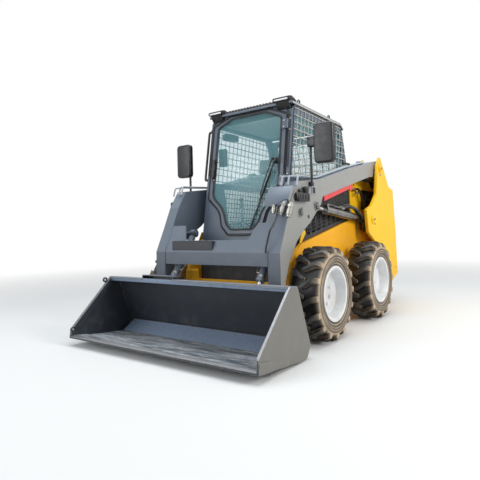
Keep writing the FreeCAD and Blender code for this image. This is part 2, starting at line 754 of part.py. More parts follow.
def bent_pipe(points, radius, bend, sides=12):
    """Pipe along straight runs, its round drawn in flats and each bend mitred twice."""
    places = [FreeCAD.Vector(*[float(c) for c in point]) for point in points]
    route = places[:1]
    for before, corner, after in zip(places, places[1:], places[2:]):
        into = (corner - before).normalize()
        out = (after - corner).normalize()
        back = float(bend) * math.tan(into.getAngle(out) / 2)
        route += [corner - into * back, corner + out * back]
    route.append(places[-1])
    ahead = (route[1] - route[0]).normalize()
    first = ahead.cross(FreeCAD.Vector(1, 0.1, 0.2)).normalize() * float(radius)
    other = ahead.cross(first)
    turns = [2 * math.pi * (index + 0.5) / sides for index in range(sides)]
    ring = [route[0] + first * math.cos(turn) + other * math.sin(turn) for turn in turns]
    section = Part.makePolygon(ring + ring[:1])
    return Part.makePolygon(route).makePipeShell([section], True, False, 1)


def solid_bar(low, high):
    """Box between two corners."""
    low, high = [float(c) for c in low], [float(c) for c in high]
    return Part.makeBox(high[0] - low[0], high[1] - low[1], high[2] - low[2], FreeCAD.Vector(*low))


def prism(low_x, high_x, loop):
    """Straight block between two x planes with the loop as its outline."""
    places = [FreeCAD.Vector(float(low_x), float(along), float(up)) for along, up in loop]
    run = FreeCAD.Vector(float(high_x) - float(low_x), 0, 0)
    return Part.Face(Part.makePolygon(places + places[:1])).extrude(run)


def flip(shape):
    """The same shape on the machine's other side."""
    return shape.mirror(FreeCAD.Vector(0, 0, 0), FreeCAD.Vector(1, 0, 0))


def shape_node(name, shapes):
    """A sub-part whose shape is worked out here, from the sheet's values."""
    thing = DOC.addObject("Part::Feature", name)
    thing.Shape = Part.makeCompound(shapes) if len(shapes) > 1 else shapes[0]
    bind(thing, "Placement.Base.y", cell("axle_y"))
    return node(thing, name)


def make_grab_rail():
    side = cell("cab_half") + 8
    out = side + cell("rail_reach")
    seat = side + cell("seat_gap")
    low, high = cell("rail_low"), cell("rail_high")
    path = [(-seat, front_plane(low) + 26, low), (-out, front_plane(low) + 26, low),
            (-out, front_plane(high) + 26, high), (-seat, front_plane(high) + 26, high)]
    shape_node("grab_rail", [bent_pipe(path, cell("rail_radius"), 26)])


def make_tail_lamps():
    waist, shoulder = stern_corners(TOWER_REAR[2:4])
    lean = math.degrees(math.atan2(float(waist[0] - shoulder[0]), float(shoulder[1] - waist[1])))
    body = new_body("tail_lamps", (0, waist[0], waist[1]), Size(-lean, "%.9g" % -lean))
    first = pad(body, "Y", cell("seat_gap"), 24, [box(575, 200, 685, 290)])
    mirrored(body, [first])
    node(body, "tail_lamps")


def make_support_bar():
    """The bar that props the raised arm, stowed under the left arm's beam."""
    body = new_body("support_bar")
    low, high = corners("arm", "under_front under_mid")
    drop = cell("seat_gap")
    front = (low[0] + 60, low[1] + 13.7 - drop)
    rear = (high[0] - 100, high[1] - 22.7 - drop)
    side = [front, rear, (rear[0] + 2, rear[1] - 62), (rear[0] - 60, rear[1] - 76),
            (rear[0] - 70, rear[1] - 56), (front[0] + 4, front[1] - 50)]
    web = [front, rear, (rear[0], rear[1] - 8), (front[0], front[1] - 8)]
    inner, outer = cell("arm_inner") + 13, cell("arm_outer") - 13
    pad(body, "X", inner, inner + 7, [side])
    pad(body, "X", outer - 7, outer, [side])
    pad(body, "X", inner, outer, [web])
    node(body, "support_bar")


def make_mirrors():
    shapes = []
    # side, the housing's middle and foot height, then the clamp's outer end
    rows = ((1, 842, 1450, 774), (-1, 713, 1462, 710))
    for side, middle, foot_z, clamp_end in rows:
        pole_x = cell("arm_outer") + 23
        pole = bent_pipe([(pole_x, 50, 1280), (pole_x, 50, 1690)], 11, 0)
        foot = solid_bar((cell("arm_outer") + cell("seat_gap"), 30, 1272), (pole_x + 12, 70, 1308))
        housing = solid_bar((middle - 88, -30, foot_z), (middle + 88, 22, foot_z + 334))
        housing = housing.makeFillet(24, [e for e in housing.Edges
                                          if abs(e.Vertexes[0].Y - e.Vertexes[-1].Y) > 1])
        clamp = solid_bar((pole_x - 18, 12, 1602), (clamp_end, 72, 1690))
        whole = pole.fuse([foot, clamp, housing]).removeSplitter()
        shapes.append(whole if side > 0 else flip(whole))
    shape_node("mirrors", shapes)


def make_arm_lamps():
    shapes = []
    face = cell("arm_outer")
    for side in (1, -1):
        body = solid_bar((face + cell("seat_gap"), -225, 1133), (face + 50, -25, 1208))
        body = body.makeFillet(10, [e for e in body.Edges if e.BoundBox.XMin > float(face) + 49])
        knob = Part.makeCylinder(26, 62, FreeCAD.Vector(float(face) + 27, -72, 1202),
                                 FreeCAD.Vector(0, 0, 1))
        body = body.fuse(knob)
        shapes.append(body if side > 0 else flip(body))
    shape_node("arm_lamps", shapes)


def make_arm_pipes():
    """Painted hydraulic pipes along the top of both arms, clamped in three places."""
    shapes = []
    face = cell("arm_inner")
    front, mid, rear = corners("arm", "beam_front beam_mid end_top")
    slope = (rear[1] - mid[1]) / (rear[0] - mid[0])
    # distance outwards from the arm's inner face, rise above the arm, foot x, y and z
    rows = ((22, 16, 0, -232, 1268), (46, 16, 52, -212, 1268))
    for out, rise, foot_x, foot_y, foot_z in rows:
        x = face + out
        run = [(face + foot_x, foot_y, foot_z), (face + foot_x, foot_y + 22, 1346),
               (x, -96, 1352), (x, front[0], front[1] + rise), (x, mid[0], mid[1] + rise),
               (x, 1480, mid[1] + rise + (size(1480) - mid[0]) * slope)]
        shapes.append(bent_pipe(run, 8, 30))
    clamps = []
    for place in (340, 1000, 1400):
        low, high = (front, mid) if place < 950 else (mid, rear)
        top = low[1] + (size(place) - low[0]) * ((high[1] - low[1]) / (high[0] - low[0]))
        clamps.append(solid_bar((face + 6, place - 22, top + 6), (face + 62, place + 22, top + 34)))
    whole = shapes[0].fuse([shapes[1]] + clamps)
    shape_node("arm_pipes", [whole, flip(whole)])


def make_coupler_guard():
    """Guard plate of the auxiliary couplers, on the front of the left arm."""
    face = corners("arm", "neck knee_front")
    run = (float(face[1][0] - face[0][0]), float(face[1][1] - face[0][1]))
    length = math.hypot(*run)
    along = (run[0] / length, run[1] / length)
    out = (-along[1], along[0])

    def spot(up, forward):
        return (face[0][0] + along[0] * up + out[0] * forward,
                face[0][1] + along[1] * up + out[1] * forward)
    gap = cell("seat_gap")
    # low x, high x, then the low and high end of each block along the arm and out from it
    blocks = ((447, 668, -78, 118, 34, 40), (662, 668, -78, 118, 8, 34),
              (572, 648, 10, 100, gap, 34), (500, 655, -62, -22, 4, 34))
    whole = []
    for low_x, high_x, low, high, inner, outer in blocks:
        loop = [spot(low, inner), spot(high, inner), spot(high, outer), spot(low, outer)]
        whole.append(prism(low_x, high_x, loop))
    # x, radius and reach of the quick couplers that look down below the guard
    drop = FreeCAD.Vector(0, -0.42, -0.9).normalize()
    for x, radius, reach in ((548, 15, 80), (606, 17, 98), (644, 20, 112)):
        start = FreeCAD.Vector(x, *[float(c) for c in spot(-40, 20)])
        whole.append(Part.makeCylinder(radius, reach, start, drop))
        whole.append(Part.makeCylinder(radius + 5, 24, start + drop * (reach * 0.6), drop))
    shape_node("coupler_guard", [whole[0].fuse(whole[1:]).removeSplitter()])


def tilt_ear():
    angle = math.radians(float(cell("tilt_ear_angle")))
    reach = cell("tilt_ear_radius")
    return (cell("toe_y") + reach * math.cos(angle), cell("toe_z") + reach * math.sin(angle))


def cylinder_shapes(base, eye, middle, barrel_radius, rod_radius, barrel_length, base_pin, eye_pin,
                    pin_half, eye_width, eye_radius, spare):
    """Barrel and rod of one hydraulic cylinder, in the plane x = middle."""
    start = FreeCAD.Vector(float(middle), float(base[0]), float(base[1]))
    end = FreeCAD.Vector(float(middle), float(eye[0]), float(eye[1]))
    along = (end - start).normalize()
    across = FreeCAD.Vector(1, 0, 0)
    half = float(eye_width) / 2
    barrel_radius, rod_radius = float(barrel_radius), float(rod_radius)
    barrel_length = float(barrel_length)

    def ring(centre, radius):
        return Part.makeCylinder(radius, 2 * half, centre - across * half, across)

    def neck(centre, way, reach, height):
        side = way.cross(across) * height
        ends = [centre + side, centre - side, centre - side + way * reach,
                centre + side + way * reach]
        return prism(centre.x - half * 0.8, centre.x + half * 0.8, [(v.y, v.z) for v in ends])
    barrel = Part.makeCylinder(barrel_radius, barrel_length - eye_radius - 6,
                               start + along * (eye_radius + 6), along)
    gland = Part.makeCylinder(barrel_radius + 5, 46, start + along * (barrel_length - 46), along)
    barrel = barrel.fuse([ring(start, eye_radius), gland,
                          neck(start, along, eye_radius + 20, barrel_radius * 0.55)])
    barrel = barrel.cut(ring(start, float(base_pin) + float(cell("running_gap"))))
    reach = (end - start).Length
    bore = Part.makeCylinder(rod_radius + float(cell("seat_gap")), barrel_length,
                             start + along * (eye_radius + 24), along)
    barrel = barrel.cut(bore)
    rod_start, rod_eye = eye_radius + 24 + float(spare), eye_radius * 0.85
    rod = Part.makeCylinder(rod_radius, reach - rod_start - rod_eye - 2, start + along * rod_start,
                            along)
    pin = Part.makeCylinder(eye_pin, 2 * float(pin_half), end - across * float(pin_half), across)
    rod = rod.fuse([ring(end, rod_eye), pin, neck(end, -along, rod_eye + 14, rod_radius * 0.6)])
    return barrel, rod


def make_cylinders():
    arm_middle = (cell("arm_inner") + cell("arm_outer")) / 2
    lift_barrel, lift_rod = cylinder_shapes(
        (cell("base_pin_y"), cell("base_pin_z")), (cell("arm_pin_y"), cell("arm_pin_z")),
        arm_middle, cell("lift_barrel_radius"), cell("lift_rod_radius"),
        cell("lift_barrel_length"), cell("base_pin"), 20,
        (cell("arm_outer") - cell("arm_inner")) / 2 - cell("arm_plate") - 0.5, 62, 46, 30)
    shape_node("lift_barrels", [lift_barrel, flip(lift_barrel)])
    shape_node("lift_rods", [lift_rod, flip(lift_rod)])
    tilt_barrel, tilt_rod = cylinder_shapes(
        (cell("tilt_base_y"), cell("tilt_base_z")), tilt_ear(), cell("tilt_x"),
        cell("tilt_barrel_radius"), cell("tilt_rod_radius"), cell("tilt_barrel_length"),
        20, 16, 31.5, 50, 38, 80)
    shape_node("tilt_barrels", [tilt_barrel, flip(tilt_barrel)])
    shape_node("tilt_rods", [tilt_rod, flip(tilt_rod)])


def make_bucket():
    body = new_body("bucket")
    overall, wall, wear = cell("overall_width") / 2, cell("bucket_wall"), cell("wear_plate")
    half = overall - wear
    outline = corners("bucket", "edge_low edge_high lip_front lip_rear back_low heel floor_rear")
    pad(body, "X", -half, half, [outline])
    round_corners(body, "X", corners("bucket", "heel"), cell("heel_round"))
    shell = corners("bucket", "edge_low floor_rear heel back_low lip_rear lip_front")
    inside = offset_path(shell, wall)
    last = inside[-1]
    beyond = [(last[0] - 50, last[1]), (last[0] - 50, 800), (-1500, 800),
              (-1500, inside[0][1] + 29)]
    cut(body, "X", wall - half, half - wall, [inside + beyond])
    round_corners(body, "X", [inside[2]], cell("heel_round") - wall)
    edge, floor = inside[0], inside[1]
    share = cell("edge_depth") / (floor[0] - edge[0])
    step = (edge[0] + (floor[0] - edge[0]) * share, edge[1] + (floor[1] - edge[1]) * share)
    lift = cell("edge_plate")
    pad(body, "X", wall - half, half - wall, [[edge, step, (step[0], step[1] + lift),
                                               (edge[0] + 30, edge[1] + lift)]])
    front, top = corners("bucket", "edge_high lip_front")
    # flat strips inside the side plates' front edges, then wear plates outside the low corners
    strip = [(front[0] + 12, front[1] + 6), (top[0] - 6, top[1] - 14), (top[0] + 52, top[1] - 14),
             (front[0] + 74, front[1] + 6)]
    low = corners("bucket", "edge_low")[0]
    guard = [low, (front[0], front[1] - 16), (front[0] + 122, front[1] - 30),
             (low[0] + 146, low[1] - 14)]
    for side_name, side in SIDES:
        pad(body, "X", *span(side, half - wall - 10, half - wall), [strip])
        pad(body, "X", *span(side, half, overall), [guard])
    # the plate that closes the corner between the floor and the back
    pad(body, "X", -882, half - wall, [[(-700, 26), (-640, 26), (-566, 60), (-540, 110),
                                        (-555, 118), (-690, 34)]])
    # tread plate on the lip and the pin lugs of the right side plate
    pad(body, "X", -510, -150, [[(-786, 528), (-704, 522), (-700, 552), (-782, 560)]])
    cut(body, "X", -504, -156, [[(-820, 515), (-710, 515), (-706, 546), (-820, 556)]])
    for along, up in ((-846, 506), (-1176, 128)):
        pad(body, "X", wear - overall, wear - overall + wall, [], [((along, up), 23)])
        cut(body, "X", wear - overall - 1, wear - overall + wall + 1, [], [((along, up), 10)])
    node(body, "bucket")


def back_spot(up, behind):
    """A point on the bucket's back: a height along it, and a distance behind it."""
    low, high = corners("bucket", "back_low lip_rear")
    run = (float(high[0] - low[0]), float(high[1] - low[1]))
    length = math.hypot(*run)
    along = (run[0] / length, run[1] / length)
    return (low[0] + along[0] * up + along[1] * size(behind),
            low[1] + along[1] * up - along[0] * size(behind))


def make_quick_coupler():
    body = new_body("quick_coupler")
    gap = cell("seat_gap")
    plate = [back_spot(40, gap), back_spot(400, gap), back_spot(400, 12), back_spot(40, 12)]
    outer = pad(body, "X", 400, 700, [plate])
    pivot = (cell("toe_y"), cell("toe_z"))
    eye = tilt_ear()
    low_ear = [back_spot(60, 10), back_spot(250, 10), (pivot[0] + 5, pivot[1] + 45),
               (pivot[0] + 42, pivot[1] + 5), (pivot[0] + 5, pivot[1] - 40)]
    high_ear = [back_spot(60, 10), back_spot(380, 10), (eye[0] + 20, eye[1] + 30),
                (eye[0] + 32, eye[1]), (pivot[0] + 42, pivot[1] + 5), (pivot[0] + 5, pivot[1] - 40)]
    inner, outside = cell("arm_inner"), cell("arm_outer")
    pieces = [outer]
    pieces.append(pad(body, "X", inner - 18, inner - 6, [low_ear]))
    pieces.append(pad(body, "X", outside + 6, outside + 18, [low_ear]))
    pieces.append(pad(body, "X", cell("tilt_x") + 32, cell("tilt_x") + 44, [high_ear]))
    pieces.append(pad(body, "X", cell("tilt_x") - 44, cell("tilt_x") - 32, [high_ear]))
    pieces.append(pad(body, "X", inner - 18, outside + 18, [], [(pivot, cell("toe_pin"))]))
    pieces.append(cut(body, "X", cell("tilt_x") - 32, cell("tilt_x") + 32,
                      [[back_spot(120, -5), back_spot(390, -5), back_spot(390, 30),
                        back_spot(120, 30)]]))
    pieces.append(cut(body, "X", inner - 6, outside + 6,
                      [[back_spot(50, -5), back_spot(190, -5), back_spot(190, 14),
                        back_spot(50, 14)]]))
    mirrored(body, pieces)
    pad(body, "X", -402, 402, [[back_spot(40, gap), back_spot(110, gap), back_spot(110, 50),
                                back_spot(40, 50)]])
    pad(body, "X", -402, 402, [[back_spot(350, gap), back_spot(400, gap), back_spot(400, 30),
                                back_spot(350, 30)]])
    node(body, "quick_coupler")


def offset_loop(points, wall):
    """A closed loop moved sideways by a wall's thickness."""
    count = len(points)
    ring = [points[-1]] + list(points) + [points[0]]
    return offset_path(ring, wall)[1:count + 1]


record_corners("pane", (
    # name, half width, height above the sill along the raked plane, of the door's glass
    ("foot", 122, 51), ("knee_low", 184, 110), ("knee_mid", 215, 209), ("knee_high", 262, 281),
    ("hip", 345, 355), ("side_low", 372, 409), ("side_high", 368, 1082), ("shoulder", 195, 1158)))
PANE_NAMES = "foot knee_low knee_mid knee_high hip side_low side_high shoulder"


def make_door():
    frame = cab_lean_body("door_frame")
    proud = cell("door_proud")
    pane = mirror_loop(corners("pane", PANE_NAMES))
    pad(frame, "Y", -proud, cell("door_depth") - proud, [door_loop(0)])
    cut(frame, "Y", -proud - 5, 50, [pane])
    hinge = (cell("door_hinge_x"), -cell("door_hinge_out"))
    for low in (440, 960):
        pad(frame, "Z", low, low + 90, [], [(hinge, 9)])
        pad(frame, "Z", low, low + 90, [box(cell("door_side_low_y") - 40, -proud - 14,
                                            hinge[0], -proud + 2)])
    node(frame, "door_frame")
    glass = cab_lean_body("door_glass")
    seat = offset_loop(pane, cell("seat_gap"))
    pad(glass, "Y", -4, cell("glass") - 4, [seat])
    node(glass, "door_glass")
    fittings = cab_lean_body("door_fittings")
    pad(fittings, "Y", -proud - 40, -proud - 22, [box(-402, 560, -376, 750)])
    for low in (565, 725):
        pad(fittings, "Y", -proud - 30, -proud - cell("seat_gap"), [box(-400, low, -378, low + 20)])
    node(fittings, "door_fittings")


def make_rear_door():
    body = new_body("rear_door", (0, stern(cell("tail_inset")), cell("tail_z")),
                    -cell("tail_lean"))
    half, depth, height = cell("tail_half"), cell("tail_depth"), cell("tail_height")
    pad(body, "Y", -depth, 0, [box(-half, 0, half, height)])
    cut(body, "Y", -depth - 1, 12 - depth + 16, [box(25 - half, 25, half - 25, height - 25)])
    slots = [box(60 - half, 420 + index * 52, half - 60, 446 + index * 52) for index in range(9)]
    cut(body, "Y", -depth - 5, 5, slots)
    hinge = (cell("tail_hinge_x"), cell("tail_hinge_out"))
    reach = cell("tower_inner") - cell("seat_gap") - cell("tail_hinge_x")
    for low in (130, 700):
        pad(body, "Z", low, low + 90, [], [(hinge, reach)])
        pad(body, "Z", low, low + 90, [box(half - 30, -2, hinge[0], cell("tail_hinge_out"))])
    node(body, "rear_door")


def make_hood():
    body = new_body("hood")
    half, plate = cell("hood_half"), cell("hood_plate")
    pivot = (cell("hood_hinge_y"), cell("hood_hinge_z"))
    path = [(pivot[0] + 8, pivot[1] - 2), (pivot[0] + 90, pivot[1] + 8), (stern(145), 1362),
            (stern(93), 1330)]
    pad(body, "X", -half, half, [sheet_loop(path, plate)])
    for row in range(6):
        low = pivot[0] + 220 + row * 44
        cut(body, "Z", 1300, 1500, [box(side * 120 + 20, low, side * 120 + 200, low + 18)
                                    for side in (-3, -1, 1)])
    end = cell("tower_inner") + cell("tower_plate") + 4
    pad(body, "X", -end, end, [], [(pivot, cell("hood_pin"))])
    node(body, "hood")


def faceted_ring(profile):
    """The solid that a closed profile of (x, radius) corners makes round the X axis, in flats."""
    sides = int(round(float(cell("ring_sides"))))
    rings = []
    for index in range(sides):
        angle = 2 * math.pi * index / sides
        rings.append([FreeCAD.Vector(float(x), -float(r) * math.sin(angle),
                                     float(r) * math.cos(angle)) for x, r in profile])
    faces = []
    for near, far in zip(rings, rings[1:] + rings[:1]):
        for index in range(len(near)):
            after = (index + 1) % len(near)
            corner_ring = []
            for point in (near[index], near[after], far[after], far[index]):
                if all(point.distanceToPoint(other) > 1e-6 for other in corner_ring):
                    corner_ring.append(point)
            if len(corner_ring) > 2:
                faces.append(Part.Face(Part.makePolygon(corner_ring + corner_ring[:1])))
    return Part.Solid(Part.Shell(faces))


def lug_shape(side, band):
    """One lug of a row: an angled bar that runs out over the shoulder."""
    edge, half = cell("tread_half_width") + 14, cell("lug_width") / 2
    knee, middle = cell("lug_knee"), cell("lug_overlap")
    # distance outwards from the centre line, place round the tyre
    rows = ((edge, -half), (edge, half), (knee, half), (-middle, half + cell("lug_rake")),
            (-middle, cell("lug_rake") - half * 0.2))
    corner_ring = [FreeCAD.Vector(float(a) * side, float(b), 0) for a, b in rows]
    outline = Part.Face(Part.makePolygon(corner_ring + corner_ring[:1]))
    return outline.extrude(FreeCAD.Vector(0, 0, 2 * float(cell("tyre_radius")))).common(band)


def make_tyre_shape():
    """The left tyre about its own centre: a casing with two rows of lugs fused on."""
    half, tread = cell("tyre_half_width"), cell("tread_half_width")
    radius, seat, gap = cell("tyre_radius"), cell("seat_radius"), cell("seat_gap")
    top = radius - cell("lug_height")
    flange, bulge = cell("flange_radius"), 50
    beside = cell("rim_half_width") - cell("rim_lip") - gap
    bead = beside - (half - beside) / bulge * (flange - seat - gap)
    casing = faceted_ring(mirror_loop([(bead, seat + gap), (half, flange + bulge),
                                       (half - 2, top - 44), (tread - 16, top)]))
    band = faceted_ring(mirror_loop([(half - 3, top - 44), (tread - 8, radius)]))
    count = int(round(float(cell("lug_count"))))
    lugs = []
    for side, share in ((1, 0), (-1, 0.5)):
        lug = lug_shape(side, band)
        for index in range(count):
            copy = lug.copy()
            copy.rotate(FreeCAD.Vector(0, 0, 0), FreeCAD.Vector(1, 0, 0),
                        (index + share) * 360.0 / count)
            lugs.append(copy)
    return casing.fuse(lugs).removeSplitter()


def make_rim_shape():
    """The left rim about its own centre, with its disc, hub and the bore for the spindle."""
    half, lip, wall = cell("rim_half_width"), cell("rim_lip"), cell("rim_wall")
    flange, seat = cell("flange_radius"), cell("seat_radius")
    well = cell("well_radius") - wall
    face, thick, dish = cell("hub_face_radius"), cell("disc_wall"), cell("disc_dish")
    nose, hub, deep = cell("hub_nose"), cell("hub_radius"), cell("hub_inner")
    barrel = [(half, seat - wall), (half, flange), (half - lip, flange), (half - lip, seat),
              (lip - half, seat), (lip - half, flange), (-half, flange), (-half, seat - wall)]
    disc = [(dish - thick, well), (0, face), (-deep, hub), (-deep, 0), (nose, 0),
            (nose, hub - 20), (thick, hub - 6), (thick, face - 5), (dish, well)]
    bore = Part.makeCylinder(float(cell("spindle_radius") + cell("running_gap")),
                             float(deep + 6), FreeCAD.Vector(-float(deep), 0, 0),
                             FreeCAD.Vector(1, 0, 0))
    return faceted_ring(barrel + disc).cut(bore)


def make_wheels():
    pieces = (("tyre", make_tyre_shape()), ("rim", make_rim_shape()))
    for end_name, along in (("front", 0), ("rear", cell("wheelbase"))):
        for side_name, side in SIDES:
            place = (cell("wheel_x") * side, size(along), cell("tyre_radius"))
            for kind, shape in pieces:
                name = "%s_%s_%s" % (kind, end_name, side_name)
                thing = DOC.addObject("Part::Feature", name)
                thing.Shape = shape if side > 0 else flip(shape)
                bind(thing, "Placement.Base.x", place[0])
                bind(thing, "Placement.Base.y", cell("axle_y") + place[1])
                bind(thing, "Placement.Base.z", place[2])
                node(thing, name)


def make_all():
    make_main_frame()
    make_axle_housings()
    for side_name, side in SIDES:
        make_tower(side_name, side)
        make_cab_side(side_name, side)
        make_arm(side_name, side)
    make_side_grilles()
    make_engine_block()
    make_cab_front()
    make_cab_rear()
    make_cab_roof()
    make_cab_floor()
    make_side_screens()
    make_cab_windows()
    make_seat()
    make_controls()
    make_roof_lamps()
    make_grab_rail()
    make_tail_lamps()
    make_cross_member()
    make_arm_step()
    make_coupler_guard()
    make_support_bar()
    make_arm_pipes()
    make_mirrors()
    make_arm_lamps()
    make_door()
    make_quick_coupler()
    make_bucket()
    make_cylinders()
    make_rear_door()
    make_hood()
    make_wheels()


def write_parts():
    DOC.recompute()
    for thing in DOC.Objects:
        if "Invalid" in thing.State or "Error" in thing.State:
            raise RuntimeError("%s could not be built" % thing.Name)
    os.makedirs("parts", exist_ok=True)
    for thing in NODES:
        if thing.Shape.isNull() or not thing.Shape.isValid():
            raise RuntimeError("%s has no valid shape" % thing.Label)
        thing.Shape.exportStep("parts/%s.step" % thing.Label)


make_all()
write_parts()
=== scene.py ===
import math

import bmesh
import bpy
from mathutils import Matrix, Vector


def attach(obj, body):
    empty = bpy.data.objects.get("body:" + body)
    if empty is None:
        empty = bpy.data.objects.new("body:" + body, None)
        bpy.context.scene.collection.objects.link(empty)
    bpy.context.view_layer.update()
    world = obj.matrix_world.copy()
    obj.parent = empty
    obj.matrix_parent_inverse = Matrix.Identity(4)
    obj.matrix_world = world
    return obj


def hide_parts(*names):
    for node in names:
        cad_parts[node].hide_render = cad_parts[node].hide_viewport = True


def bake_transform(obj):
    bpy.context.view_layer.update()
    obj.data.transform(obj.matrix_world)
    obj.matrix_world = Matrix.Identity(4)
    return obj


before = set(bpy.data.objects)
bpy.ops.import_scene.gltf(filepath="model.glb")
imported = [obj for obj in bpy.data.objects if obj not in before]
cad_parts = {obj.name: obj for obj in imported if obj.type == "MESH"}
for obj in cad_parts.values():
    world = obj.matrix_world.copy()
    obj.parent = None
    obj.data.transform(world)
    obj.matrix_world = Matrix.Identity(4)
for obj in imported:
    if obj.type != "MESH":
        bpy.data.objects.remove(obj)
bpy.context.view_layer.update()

# The loader's own measures, in metres. The front axle lies at FRONT_AXLE along the machine.
FRONT_AXLE = -0.5025
REAR_AXLE = FRONT_AXLE + 1.085
WHEEL_X = 0.779
AXLE_HEIGHT = 0.383


def at(x, along, up):
    """A point from its distances to the middle, the front axle and the ground."""
    return Vector((x, along + FRONT_AXLE, up))


def set_camera():
    lens = bpy.data.cameras.new("photo_view")
    lens.sensor_width = 36
    lens.lens = 33.96
    lens.shift_x = -0.0015
    lens.shift_y = -0.0525
    lens.clip_end = 100
    camera = bpy.data.objects.new("photo_view", lens)
    bpy.context.scene.collection.objects.link(camera)
    yaw, pitch, roll = (math.radians(angle) for angle in (35.939, 1.839, -1.556))
    ahead = Vector((-math.sin(yaw) * math.cos(pitch), math.cos(yaw) * math.cos(pitch),
                    math.sin(pitch)))
    right = Vector((math.cos(yaw), math.sin(yaw), 0))
    up = right.cross(ahead)
    across = math.cos(roll) * right + math.sin(roll) * up
    over = math.cos(roll) * up - math.sin(roll) * right
    turn = Matrix((across, over, -ahead)).transposed().to_4x4()
    camera.matrix_world = Matrix.Translation(at(2.444, -3.410, 0.922)) @ turn
    bpy.context.scene.camera = camera


class Finish:
    """One procedural material, built up node by node on the piece's own coordinates."""

    def __init__(self, name, colour, rough, metal=0.0):
        self.material = bpy.data.materials.new(name)
        self.material.use_nodes = True
        self.tree = self.material.node_tree
        self.surface = self.tree.nodes["Principled BSDF"]
        spots = self.add("ShaderNodeTexCoord")
        self.place = spots.outputs["Object"]
        self.normal = spots.outputs["Normal"]
        self.set("Base Color", (*colour, 1))
        self.set("Roughness", rough)
        self.set("Metallic", metal)

    def add(self, kind, **settings):
        node = self.tree.nodes.new(kind)
        for name, value in settings.items():
            setattr(node, name, value)
        return node

    def link(self, source, target):
        self.tree.links.new(source, target)

    def feed(self, socket, value):
        if isinstance(value, bpy.types.NodeSocket):
            self.link(value, socket)
        elif isinstance(value, tuple) and len(value) == 3 and socket.type == "RGBA":
            socket.default_value = (*value, 1)
        else:
            socket.default_value = value

    def set(self, name, value):
        self.feed(self.surface.inputs[name], value)

    def noise(self, scale, detail=3.0, stretch=None, rough=0.55):
        node = self.add("ShaderNodeTexNoise")
        node.inputs["Scale"].default_value = scale
        node.inputs["Detail"].default_value = detail
        node.inputs["Roughness"].default_value = rough
        source = self.place
        if stretch:
            mapping = self.add("ShaderNodeMapping")
            mapping.inputs["Scale"].default_value = stretch
            self.link(source, mapping.inputs["Vector"])
            source = mapping.outputs["Vector"]
        self.link(source, node.inputs["Vector"])
        return node.outputs["Fac"]

    def span(self, source, low, high, start=0.0, end=1.0):
        """Maps low..high of a value to start..end, held at the ends."""
        node = self.add("ShaderNodeMapRange")
        self.feed(node.inputs["Value"], source)
        for socket, value in zip(("From Min", "From Max", "To Min", "To Max"),
                                 (low, high, start, end)):
            node.inputs[socket].default_value = value
        return node.outputs["Result"]

    def maths(self, operation, first, second):
        node = self.add("ShaderNodeMath", operation=operation)
        self.feed(node.inputs[0], first)
        self.feed(node.inputs[1], second)
        return node.outputs[0]

    def mix(self, share, first, second):
        node = self.add("ShaderNodeMix", data_type="RGBA")
        self.feed(node.inputs["Factor"], share)
        self.feed(node.inputs[6], first)
        self.feed(node.inputs[7], second)
        return node.outputs[2]

    def height(self):
        node = self.add("ShaderNodeSeparateXYZ")
        self.link(self.place, node.inputs[0])
        return node.outputs["Z"]

    def facing(self, axis):
        """How squarely the surface faces along one of the piece's own axes, either way."""
        node = self.add("ShaderNodeSeparateXYZ")
        self.link(self.normal, node.inputs[0])
        return self.maths("ABSOLUTE", node.outputs[axis], 0.0)

    def outer_side(self, reach):
        """1 on the faces that look sideways and lie beyond a distance off the middle plane."""
        node = self.add("ShaderNodeSeparateXYZ")
        self.link(self.place, node.inputs[0])
        off = self.span(self.maths("ABSOLUTE", node.outputs["X"], 0.0), reach - 0.002, reach)
        return self.maths("MULTIPLY", off, self.span(self.facing("X"), 0.75, 0.97))

    def edges(self, radius):
        """Where the surface bends sharply: 0 on flats, rising to 1 on the edges."""
        round_over = self.add("ShaderNodeBevel", samples=4)
        round_over.inputs["Radius"].default_value = radius
        flat = self.add("ShaderNodeNewGeometry")
        dot = self.add("ShaderNodeVectorMath", operation="DOT_PRODUCT")
        self.link(round_over.outputs[0], dot.inputs[0])
        self.link(flat.outputs["Normal"], dot.inputs[1])
        return self.span(dot.outputs["Value"], 0.99, 0.80), round_over.outputs[0]

    def bump(self, height, strength, distance, under=None):
        node = self.add("ShaderNodeBump")
        node.inputs["Strength"].default_value = strength
        node.inputs["Distance"].default_value = distance
        self.link(height, node.inputs["Height"])
        if under is not None:
            self.link(under, node.inputs["Normal"])
        self.link(node.outputs["Normal"], self.surface.inputs["Normal"])


DUST = (0.40, 0.35, 0.28)


